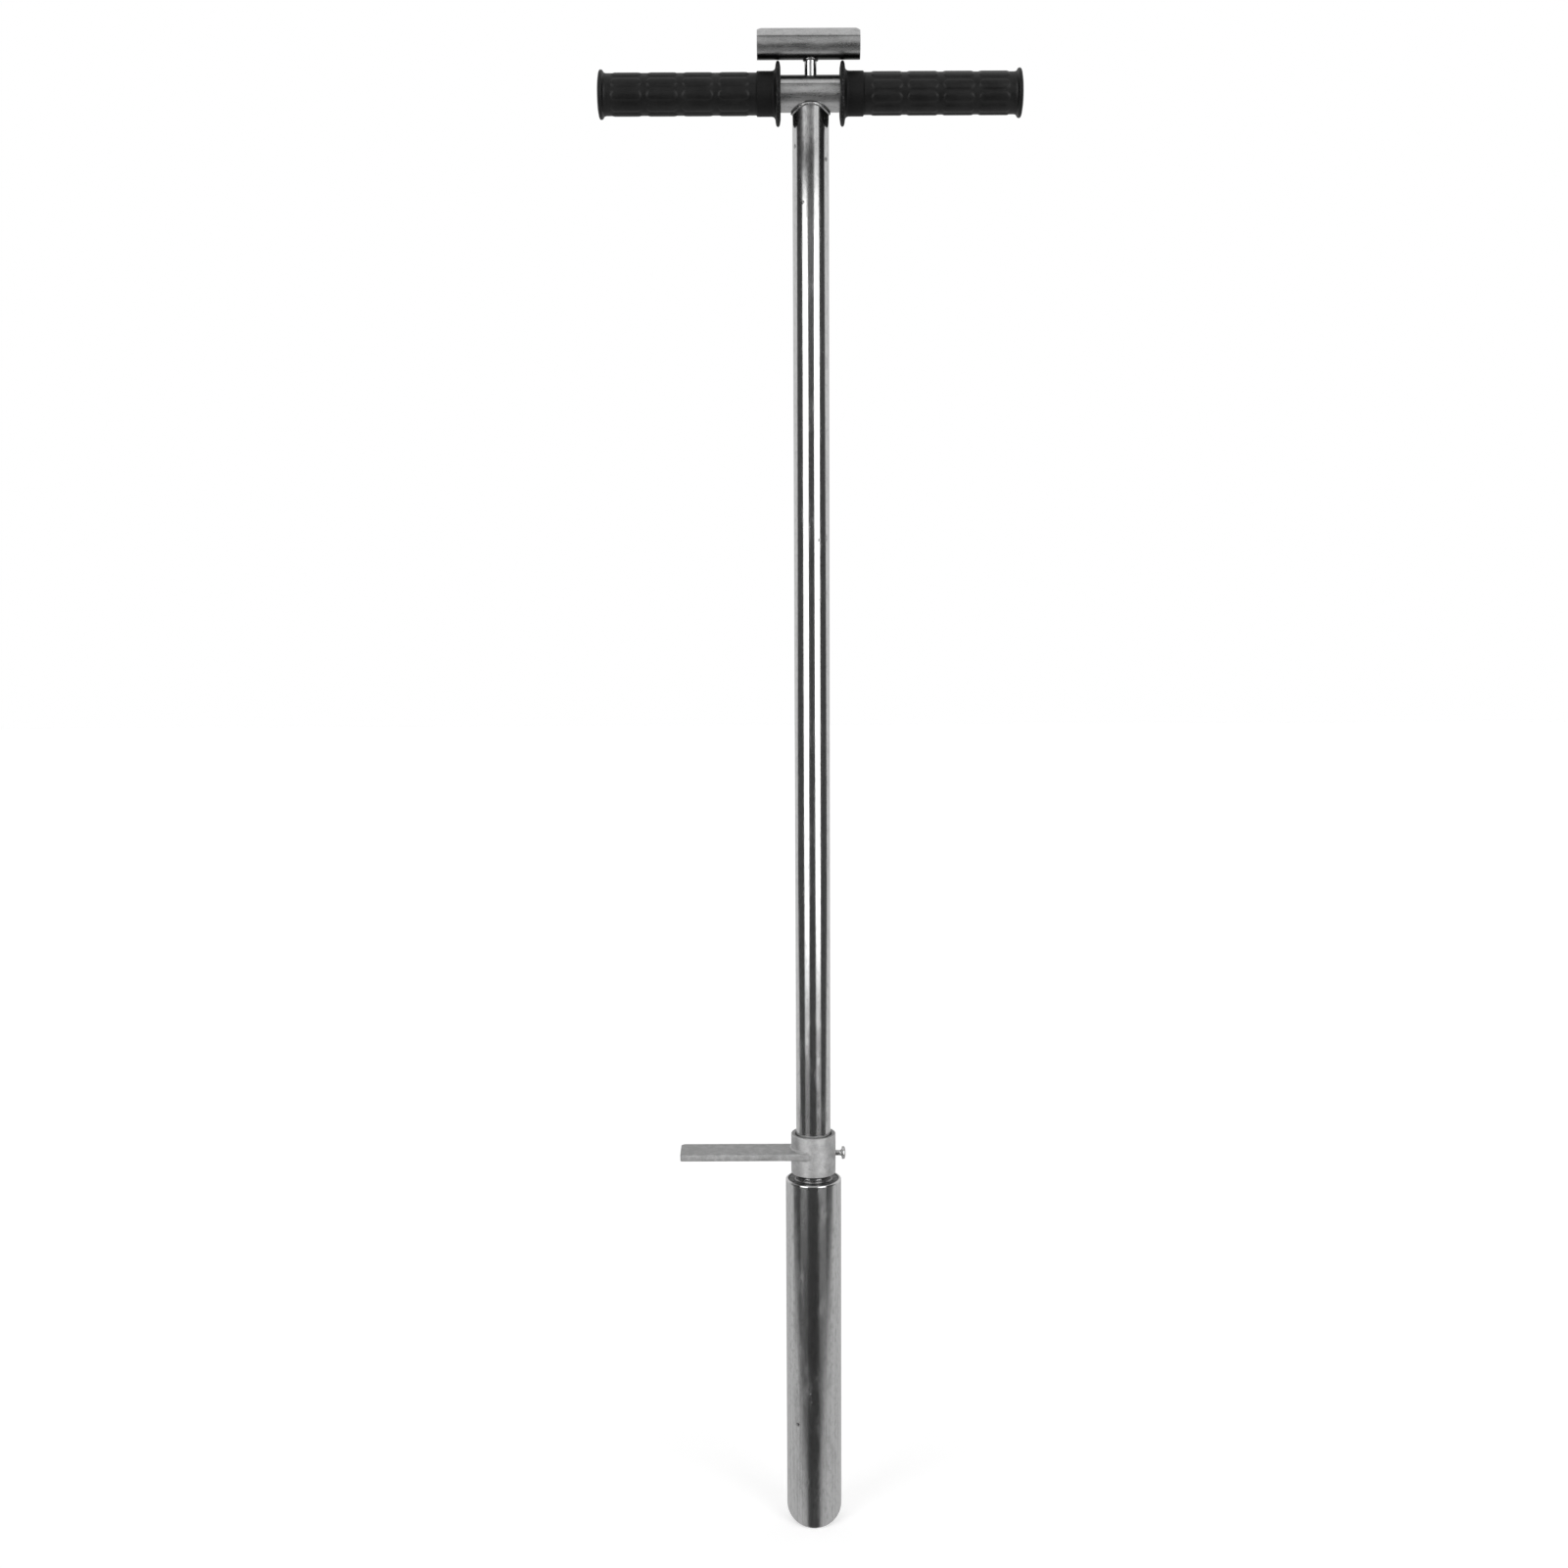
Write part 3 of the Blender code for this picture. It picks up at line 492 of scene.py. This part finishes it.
def lay_along_x(piece, x, z):
    """Turn a piece from Z to X, and put its middle at a place over the X axis."""
    piece.rotation_euler = (0, pi / 2, 0)
    piece.location = (x, 0, z)
    settle(piece)


def satin_steel(name, shade, smears, painted_shade_full_at, painted_shade_edge_at, painted_stripe_at):
    """Dull steel tube along X, mottled and brushed along, with smears of one fineness. Between two given
    heights it fades into a band painted dark as shade and the reflection of dark parts nearby, and a thin
    dark stripe along it at the last given height is a painted reflection."""
    material, place = start_finish(name)
    brushed = place.stretched(0.04, 1, 1).noise(1500, 4, 0.6)
    cloud = place.stretched(0.4, 1, 1).noise(170, 5, 0.68)
    smear = place.stretched(0.4, 1, 1).noise(smears, 4, 0.6)
    grit = place.stretched(0.7, 1, 1).noise(1300, 3, 0.75)
    height = place.node("SeparateXYZ", {}, {0: place}, "Z")
    # A thin dark stripe along the tube at one height is a painted reflection, not a drawing line.
    line = 1 - place.maths("ABSOLUTE", height + cloud * 0.0004 - 0.0002 - painted_stripe_at).between(0.0002, 0.0007)
    # Past the given heights the tube is painted dark, as shade and the reflection of dark parts near it.
    outside_painted_shade = (height + cloud * 0.001 - 0.0005).between(painted_shade_full_at, painted_shade_edge_at)
    tone = (shade + 0.10 * cloud.between(0.35, 0.7) - 0.12 * smear.between(0.50, 0.70)
            - 0.12 * grit.between(0.46, 0.72)) * (0.15 + 0.85 * outside_painted_shade) * (1 - 0.45 * line)
    rough = 0.25 + 0.04 * brushed.between(0.40, 0.62) + 0.07 * cloud.between(0.35, 0.7)
    bump = place.node("Bump", {}, {"Height": brushed * 0.5 + cloud, "Strength": 0.10, "Distance": 0.0002})
    end_finish(place, {"Base Color": tone, "Roughness": rough, "Metallic": 1.0, "Normal": bump})
    return material


handle = lathe("cross_handle", ring(HANDLE_R, HANDLE_R - TUBE_WALL, -HANDLE_HALF, HANDLE_HALF), 128)
lay_along_x(handle, 0, HANDLE_Z)
carve(handle, add_cylinder(ROD_HOLE, THROUGH, (0, 0, HANDLE_Z), vertices=64))
# The handle's top is painted dark as the reflection of the bar's dark underside above it.
handle_steel = satin_steel("dull_steel", 0.57, 240, HANDLE_Z + 0.0102, HANDLE_Z + 0.0086, HANDLE_Z + 0.0058)
dress(handle, handle_steel, "probe", "handle_tube")


# One bead of weld joins shaft and handle. It follows the line where the two round tubes meet, flat over
# the front and back and steep at the sides, and it was wire brushed but not ground.
BEAD_R = 0.0011
SADDLE_EASE = 0.0074


def bead(name, radius, count, height, depth, ripples):
    """A weld bead along a ring of points round Z, with the ripples of its puddle."""
    bpy.ops.object.select_all(action="DESELECT")
    bpy.ops.mesh.primitive_circle_add(vertices=count, radius=radius)
    piece = start_piece(name)
    for spot in piece.data.vertices:
        spot.co.z = height(spot.co.y)
    bpy.ops.object.convert(target="CURVE")
    piece.data.bevel_depth = 1
    piece.data.bevel_resolution = 5
    points = piece.data.splines[0].points
    for i, point in enumerate(points):
        ripple = 0.03 * sin(2 * pi * ripples * i / count)
        point.radius = depth * (1 + ripple + 0.04 * sin(2 * pi * 3 * i / count + 1))
    bpy.ops.object.convert(target="MESH")
    return piece


def saddle_line(y):
    """Height at which the shaft's outside meets the handle's, eased at the front and back."""
    drop = sqrt(max(SHAFT_R ** 2 - y ** 2, 0))
    return HANDLE_Z - (drop ** 3 + SADDLE_EASE ** 3) ** (1 / 3)


saddle_bead = bead("saddle_bead", SHAFT_R, 192, saddle_line, BEAD_R, 30)
carve(saddle_bead, add_cylinder(SHAFT_R - BITE, 0.05, (0, 0, HANDLE_Z - 0.0297)))
carve(saddle_bead, add_cylinder(HANDLE_R - BITE, THROUGH, (0, 0, HANDLE_Z), True))
bead_steel = weld_steel("bead_steel", 0.52, 0.34, 0.20)
dress(saddle_bead, bead_steel, "probe", "handle_weld")


# The grips are moulded black rubber, pushed on over the tube's ends: a round flange, a plain neck, ten rows
# of four raised pads with round ends, and a rolled lip round a closed end. Both came from one mould.
GRIP_BORE = 0.013
BODY_R = 0.0144
NECK_R = GRIP_BORE + 0.0024
FLANGE_R = GRIP_BORE + 0.00926
LIP_R = GRIP_BORE + 0.0039
END_WALL = 0.003
LEFT_START = 0.0207
RIGHT_START = LEFT_START - 0.0006
LEFT_TURN = -11.4
RIGHT_TURN = -2.0
GRIP_LENGTH = 0.12655
PAD_LENGTH = 0.0222
PAD_WIDTH = 0.0082
PAD_PITCH = 0.02467
PADS_ALONG = 4
FIRST_PAD_START = 0.01997
ROWS = 10
STRIPS = 12
ROW_WIDTH = 2 * pi * BODY_R / ROWS


def deform(piece, kind, **settings):
    """Add a modifier to a piece and apply it."""
    take_up(piece)
    change = piece.modifiers.new(kind.lower(), kind)
    for name, value in settings.items():
        setattr(change, name, value)
    bpy.ops.object.modifier_apply(modifier=change.name)


def pad_cell():
    """One pad with the flat rubber round it, in narrow strips that can bend. Y is along the grip."""
    bpy.ops.object.select_all(action="DESELECT")
    bpy.ops.mesh.primitive_circle_add(vertices=28, radius=PAD_WIDTH / 2, fill_type="NGON")
    cell = start_piece("pad_cell")
    half_length = (PAD_LENGTH - PAD_WIDTH) / 2
    for spot in cell.data.vertices:
        if abs(spot.co.y) > 0.000001:
            spot.co.y += half_length if spot.co.y > 0 else -half_length
    bpy.ops.object.mode_set(mode="EDIT")
    bpy.ops.mesh.select_all(action="SELECT")
    for width, lift in ((0.0004, 0.00007), (0.0005, 0.00019), (0.0005, 0.00018), (0.0004, 0.00008)):
        bpy.ops.mesh.inset(thickness=width, depth=lift)
    bpy.ops.mesh.select_all(action="DESELECT")
    bpy.ops.mesh.primitive_plane_add(size=1)
    bpy.ops.transform.resize(value=(ROW_WIDTH, PAD_PITCH, 1))
    bpy.ops.mesh.delete(type="ONLY_FACE")
    bpy.ops.mesh.select_mode(type="EDGE")
    bpy.ops.mesh.select_all(action="DESELECT")
    bpy.ops.mesh.select_non_manifold()
    bpy.ops.mesh.fill(use_beauty=True)
    bpy.ops.mesh.select_all(action="SELECT")
    bpy.ops.mesh.normals_make_consistent(inside=False)
    for i in range(1, STRIPS):
        bpy.ops.mesh.select_all(action="SELECT")
        bpy.ops.mesh.bisect(plane_co=(ROW_WIDTH * (i / STRIPS - 0.5), 0, 0), plane_no=(1, 0, 0))
    bpy.ops.object.mode_set(mode="OBJECT")
    return cell


def grow(outline):
    """Draw out the selected round end of the sheet through a list of (radius, height) rings."""
    radius, height = outline[0]
    for r, z in outline[1:]:
        bpy.ops.mesh.extrude_region_move(TRANSFORM_OT_translate={"value": (0, 0, z - height)})
        bpy.ops.transform.resize(value=(r / radius, r / radius, 1), center_override=(0, 0, z))
        radius, height = r, z


def moulded_grip(name):
    """A grip standing on its flange: a sheet of pads rolled up, then drawn out at both ends."""
    grip = pad_cell()
    grip.name = grip.data.name = name
    for count, step in ((PADS_ALONG, (0, PAD_PITCH, 0)), (ROWS, (ROW_WIDTH, 0, 0))):
        deform(grip, "ARRAY", count=count, use_relative_offset=False, use_constant_offset=True,
               constant_offset_displace=step, use_merge_vertices=True, merge_threshold=0.00001)
    grip.location = (-ROW_WIDTH * (ROWS - 1) / 2, 0, 0)
    settle(grip)
    grip.rotation_euler = (pi / 2, 0, 0)
    settle(grip)
    deform(grip, "SIMPLE_DEFORM", deform_method="BEND", deform_axis="Z", angle=2 * pi)
    grip.location = (0, -BODY_R, FIRST_PAD_START + PAD_PITCH / 2)
    settle(grip)
    low, high = FIRST_PAD_START, FIRST_PAD_START + PADS_ALONG * PAD_PITCH
    bpy.ops.object.mode_set(mode="EDIT")
    bpy.ops.mesh.select_all(action="SELECT")
    bpy.ops.mesh.remove_doubles(threshold=0.00002)
    pick_edges(grip, lambda spot: abs(spot.z - high) < 0.00002)
    lip, top = LIP_R, GRIP_LENGTH
    grow([(BODY_R, high), (BODY_R, top - 0.0062), (BODY_R + 0.0002, top - 0.0052),
          (BODY_R + 0.0006, top - 0.0045), (lip - 0.0008, top - 0.0039), (lip - 0.0002, top - 0.0034),
          (lip, top - 0.0027), (lip, top - 0.0020), (lip - 0.0005, top - 0.0014),
          (lip - 0.0015, top - 0.0010), (lip * 0.7, top - 0.0004), (lip * 0.4, top - 0.0001), (0.0004, top)])
    bpy.ops.mesh.merge(type="CENTER")
    pick_edges(grip, lambda spot: abs(spot.z - low) < 0.00002)
    neck, flange = NECK_R, FLANGE_R
    grow([(BODY_R, low), (BODY_R, 0.0169), (BODY_R + 0.0003, 0.0165), (neck - 0.0002, 0.0163),
          (neck, 0.0160), (neck, 0.0066), (neck, 0.0061), (neck + 0.0002, 0.0052), (neck + 0.0007, 0.0044),
          (neck + 0.0015, 0.0039), (neck + 0.0024, 0.0037), (flange - 0.0022, 0.0034),
          (flange - 0.0010, 0.0031), (flange - 0.0003, 0.0026), (flange, 0.0019), (flange - 0.0003, 0.0012),
          (flange - 0.0010, 0.0007), (flange - 0.0022, 0.0004), (neck + 0.002, 0),
          (GRIP_BORE + 0.0003, 0), (GRIP_BORE, 0.0003),
          (GRIP_BORE, top - END_WALL), (0.0004, top - END_WALL)])
    bpy.ops.mesh.merge(type="CENTER")
    bpy.ops.mesh.select_all(action="SELECT")
    bpy.ops.mesh.normals_make_consistent(inside=False)
    bpy.ops.object.mode_set(mode="OBJECT")
    return grip


def black_rubber(name):
    """Moulded rubber: black, with a low sheen, a fine grain and pale dust in places."""
    material, place = start_finish(name)
    grain = place.noise(2600, 2, 0.6)
    bloom = place.noise(70, 4, 0.65)
    dust = place.noise(700, 3, 0.7)
    along = place.maths("ABSOLUTE", place.node("SeparateXYZ", {}, {0: place}))
    handled = along.between(0.0365, 0.0385)
    rim = 1 - along.between(0.0235, 0.0250)
    tone = (0.002 + handled * (0.005 + 0.006 * bloom.between(0.35, 0.7))
            + (0.03 + 0.08 * rim) * dust.between(0.66 - 0.16 * rim, 0.80))
    rough = 0.28 + 0.12 * bloom + 0.1 * grain + 0.18 * (1 - handled)
    bump = place.node("Bump", {}, {"Height": grain, "Strength": 0.2, "Distance": 0.0001})
    end_finish(place, {"Base Color": tone, "Roughness": rough, "Specular IOR Level": 0.29, "Normal": bump})
    return material


rubber = black_rubber("moulded_rubber")
right_grip = moulded_grip("right_grip")
left_grip = right_grip.copy()
left_grip.data = right_grip.data.copy()
left_grip.name = left_grip.data.name = "left_grip"
bpy.context.scene.collection.objects.link(left_grip)
for grip, end, start, turned in ((right_grip, 1, RIGHT_START, RIGHT_TURN),
                                 (left_grip, -1, LEFT_START, LEFT_TURN)):
    grip.matrix_world = (Matrix.Translation((end * start, 0, HANDLE_Z))
                         @ Matrix.Rotation(end * pi / 2, 4, "Y")
                         @ Matrix.Rotation(end * radians(turned), 4, "Z"))
    settle(grip)
dress(right_grip, rubber, "probe", "grip_right")
dress(left_grip, rubber, "probe", "grip_left")


# The ejector's bar is a short piece of steel tube, sawn off square, with its two top corners ground off. It
# is a little thinner than the handle, and rests on the grips' flanges.
BAR_R = 0.01065
BAR_Z = 1.08605
BAR_X = -0.00135
BAR_HALF = 0.0355
push_bar = lathe("push_bar", ring(BAR_R, BAR_R - TUBE_WALL, -BAR_HALF, BAR_HALF, 0.00015), 128)
lay_along_x(push_bar, BAR_X, BAR_Z)
for side, length, height in ((-1, 0.0036, 0.0014), (1, 0.0030, 0.0018)):
    bpy.ops.object.select_all(action="DESELECT")
    bpy.ops.mesh.primitive_cube_add(size=0.04, location=(0, 0, 0))
    wheel = bpy.context.object
    wheel.matrix_world = (Matrix.Translation((BAR_X + side * (BAR_HALF - length), 0, BAR_Z + BAR_R))
                          @ Matrix.Rotation(side * (height / length), 4, "Y")
                          @ Matrix.Translation((0, 0, 0.02)))
    carve(push_bar, wheel)
# The bar's underside is painted dark as shade and the reflection of the black grips below it.
bar_steel = satin_steel("worn_steel", 0.56, 420, BAR_Z - 0.0086, BAR_Z - 0.0068, BAR_Z + 0.0044)
dress(push_bar, bar_steel, "ejector", "ejector_bar")


# The ejector's rod is bright drawn steel. It is welded under the bar, and runs down through the handle and
# the shaft to the piston.
ROD_R = 0.00425
ROD_END = 0.02635
ROD_BEAD_R = 0.0012
rod = lathe("push_rod", [(0, BAR_Z), (ROD_R, BAR_Z), (ROD_R, 0.0269), (ROD_R - 0.0005, ROD_END),
                         (0, ROD_END)], 64)
carve(rod, add_cylinder(BAR_R + CLEAR, THROUGH, (0, 0, BAR_Z), True))
rod_steel = polished_steel("rod_steel", [])
dress(rod, rod_steel, "ejector", "ejector_rod")
rod_bead = bead("rod_bead", ROD_R, 72, lambda y: BAR_Z - sqrt(BAR_R ** 2 - y ** 2), ROD_BEAD_R, 9)
carve(rod_bead, add_cylinder(ROD_R + CLEAR, 0.03, (0, 0, BAR_Z - 0.02), vertices=64))
carve(rod_bead, add_cylinder(BAR_R + CLEAR, THROUGH, (0, 0, BAR_Z), True))
rod_weld = weld_steel("rod_weld", 0.44, 0.34, 0.20)
dress(rod_bead, rod_weld, "ejector", "ejector_weld")


# The piston that pushes the core out is turned nylon. A nut and washer hold it from below, sunk in its
# face, and a thin nut locks it from above.
PISTON_R = 0.0187
PISTON_EDGE_R = 0.0182
PISTON_LOW = 0.02604
PISTON_HIGH = 0.04004
RECESS_R = 0.0105
RECESS_TOP = 0.03504
piston = lathe("core_piston", [
    (PISTON_R, 0.0395), (PISTON_R, 0.02654), (PISTON_EDGE_R, PISTON_LOW), (RECESS_R, PISTON_LOW),
    (RECESS_R, RECESS_TOP), (ROD_HOLE, RECESS_TOP), (ROD_HOLE, PISTON_HIGH), (PISTON_EDGE_R, PISTON_HIGH),
    (PISTON_R, 0.0395)], 128)
dress(piston, turned_nylon, "piston", "ejector_piston")


def plated_steel(name, shade, coarse, painted_top_shade_from=OUT_OF_REACH, painted_top_shade=0.0, painted_highlight_rim_at=-OUT_OF_REACH):
    """Zinc plated steel, pale and matt, with cloudy patches. Its top faces above the first given height are
    painted darker as shade, and a thin band at the rim height is painted brighter as a highlight."""
    material, place = start_finish(name)
    height = place.node("SeparateXYZ", {}, {0: place}, "Z")
    cloud = place.noise(coarse, 5, 0.66)
    grain = place.noise(2400, 3, 0.65)
    rub = place.stretched(0.25, 1, 1).noise(300, 4, 0.65)
    # Top faces above the given height are painted darker as shade.
    painted_top_shade_mask = height.between(painted_top_shade_from, painted_top_shade_from + 0.0003)
    # A band up to 0.7 mm above the rim height is painted brighter as a highlight on the rim.
    rim = 1 - height.between(painted_highlight_rim_at, painted_highlight_rim_at + 0.0007)
    tone = ((shade + 0.16 * cloud.between(0.35, 0.7) - 0.14 * rub.between(0.54, 0.74)
             + 0.05 * grain.between(0.4, 0.7)) * (1 - painted_top_shade * painted_top_shade_mask) * (1 + 0.4 * rim))
    rough = 0.48 + 0.14 * cloud + 0.06 * grain - 0.15 * rim
    bump = place.node("Bump", {}, {"Height": grain + cloud, "Strength": 0.2, "Distance": 0.0002})
    end_finish(place, {"Base Color": tone, "Roughness": rough, "Metallic": 1.0, "Normal": bump})
    return material


bolt_steel = plated_steel("bolt_plate", 0.58, 260)
WASHER_R = 0.0085
washer = lathe("piston_plate", ring(WASHER_R, ROD_HOLE, 0.03314, 0.03474), 64)
dress(washer, bolt_steel, "ejector", "piston_washer")


def nut(name, bottom, top):
    """A hexagon nut with its corners turned off at both ends."""
    flats = 0.0065
    corner = flats / cos(pi / 6)
    add_cylinder(corner, top - bottom, (0, 0, (top + bottom) / 2), vertices=6)
    piece = start_piece(name)
    settle(piece)
    turned_off = lathe("nut_round", [
        (0, top), (flats, top), (corner, top - 0.0005), (corner, bottom + 0.0005), (flats, bottom),
        (0, bottom)], 48)
    carve(piece, turned_off, "INTERSECT")
    carve(piece, add_cylinder(ROD_HOLE, 0.03, (0, 0, bottom), vertices=64))
    return piece


dress(nut("piston_bolt", 0.02634, 0.03284), bolt_steel, "ejector", "piston_nut")
dress(nut("lock_bolt", 0.04034, 0.04434), bolt_steel, "ejector", "lock_nut")


# The foot step's collar is a plated sleeve that slides on the shaft, with a small bevel on its rims and a
# tapped hole on its right for the clamp screw.
COLLAR_R = 0.0165
COLLAR_LOW = 0.2750
COLLAR_HIGH = 0.3053
COLLAR_MIDDLE = 0.2897
COLLAR_BORE = 0.0138
SCREW_HOLE = 0.0024
collar = lathe("foot_collar", ring(COLLAR_R, COLLAR_BORE, COLLAR_LOW, COLLAR_HIGH, 0.0005), 128)
carve(collar, add_cylinder(SCREW_HOLE, 0.0054, (0.0152, 0, COLLAR_MIDDLE), True, 48))
# The collar's top face is painted darker as shade, and its lower rim brighter as a highlight.
step_steel = plated_steel("step_plate", 0.64, 190, COLLAR_HIGH - 0.0003, 0.45, COLLAR_LOW)
dress(collar, step_steel, "foot_step", "step_collar")


# The step itself is a length of flat bar. Its end corners are rounded and all its edges are rubbed down,
# and it is cut to a hollow that fits the collar, set forward so that the two fronts are nearly flush.
STEP_LOW = (-0.0985, -0.0159, 0.2884)
STEP_HIGH = (0.0, 0.0095, 0.29385)


def add_box(middle, size):
    """Add a plain box, as a start or as a cutter."""
    bpy.ops.object.select_all(action="DESELECT")
    bpy.ops.mesh.primitive_cube_add(size=1, location=middle, scale=size)
    return bpy.context.object


def rub_down(piece, width, segments):
    """Round all the sharp edges of a piece."""
    deform(piece, "BEVEL", width=width, segments=segments, limit_method="ANGLE", angle_limit=radians(40))


add_box([(a + b) / 2 for a, b in zip(STEP_LOW, STEP_HIGH)], [b - a for a, b in zip(STEP_LOW, STEP_HIGH)])
foot_bar = start_piece("foot_bar")
settle(foot_bar)
bpy.ops.object.mode_set(mode="EDIT")
pick_edges(foot_bar, lambda spot: spot.x < -0.09 and spot.y > 0)
bpy.ops.mesh.bevel(offset=0.0032, segments=6)
pick_edges(foot_bar, lambda spot: spot.x < -0.097 and spot.y < -0.015)
bpy.ops.mesh.bevel(offset=0.0016, segments=5)
bpy.ops.object.mode_set(mode="OBJECT")
rub_down(foot_bar, 0.0006, 3)
carve(foot_bar, add_cylinder(COLLAR_R - BITE, 0.05, (0, 0, COLLAR_MIDDLE)))
# The bar's top face is painted darker than its front as shade.
bar_plate = plated_steel("bar_plate", 0.56, 190, STEP_HIGH[2] - 0.0007, 0.28)
dress(foot_bar, bar_plate, "foot_step", "step_bar")


# Its weld was ground and plated over, so that the bar seems to flow into the front of the collar. A small
# fillet follows the collar all round the bar's end.
STEP_BEAD_R = 0.0010
GROUND_OFF = 0.00067


def step_bead(name, height):
    """A ring of weld on the collar at one height, cut down to the width of the bar."""
    bpy.ops.object.select_all(action="DESELECT")
    bpy.ops.mesh.primitive_torus_add(major_radius=COLLAR_R, minor_radius=STEP_BEAD_R, major_segments=160,
                                     minor_segments=16, location=(0, 0, height))
    piece = start_piece(name)
    settle(piece)
    kept = add_box((-0.015, (STEP_LOW[1] + STEP_HIGH[1]) / 2, height),
                   (0.030, STEP_HIGH[1] - STEP_LOW[1] - 0.0002, 0.01))
    carve(piece, kept, "INTERSECT")
    return piece


foot_bead = step_bead("foot_bead", STEP_HIGH[2] - BITE)
carve(foot_bead, step_bead("lower_bead", STEP_LOW[2] + BITE), "UNION")
add_box((-0.0084, -0.01519, (STEP_LOW[2] + STEP_HIGH[2]) / 2),
        (0.0152, 0.0012, STEP_HIGH[2] - STEP_LOW[2] - 0.0001))
ground = start_piece("ground_weld")
settle(ground)
bpy.ops.object.mode_set(mode="EDIT")
pick_edges(ground, lambda spot: spot.x > -0.005)
bpy.ops.transform.translate(value=(0, -GROUND_OFF, 0))
bpy.ops.object.mode_set(mode="OBJECT")
rub_down(ground, 0.0006, 4)
carve(foot_bead, ground, "UNION")
carve(foot_bead, add_cylinder(COLLAR_R - BITE, 0.05, (0, 0, COLLAR_MIDDLE)))
ground_steel = plated_steel("ground_plate", 0.56, 190)
dress(foot_bead, ground_steel, "foot_step", "step_weld")


# The clamp screw has a domed head with a hexagon socket, and shows a few millimetres of bare shank between
# head and collar.
SCREW_R = 0.0021
HEAD_R = 0.0048
HEAD_X = 0.0211
HEAD_TOP = HEAD_X + 0.0029
DOME_RISE = 0.0014
SCREW_TIP = 0.013
SOCKET_R = 0.00173
dome = [(HEAD_R * sin(a), HEAD_TOP - DOME_RISE + DOME_RISE * cos(a)) for a in QUARTER_TURN]
screw = lathe("set_screw", dome + [
    (HEAD_R, HEAD_X + 0.0004), (HEAD_R - 0.0003, HEAD_X), (SCREW_R + 0.0012, HEAD_X),
    (SCREW_R + 0.0005, HEAD_X - 0.0003), (SCREW_R + 0.0001, HEAD_X - 0.0009), (SCREW_R, HEAD_X - 0.0016),
    (SCREW_R, 0.0138), (0.0013, SCREW_TIP), (0, SCREW_TIP)], 64)
lay_along_x(screw, 0, COLLAR_MIDDLE)
carve(screw, add_cylinder(SOCKET_R, 0.0032, (HEAD_TOP, 0, COLLAR_MIDDLE), True, 6))
screw_steel = weld_steel("screw_steel", 0.66, 0.16, 0.08)
dress(screw, screw_steel, "clamp", "clamp_screw")
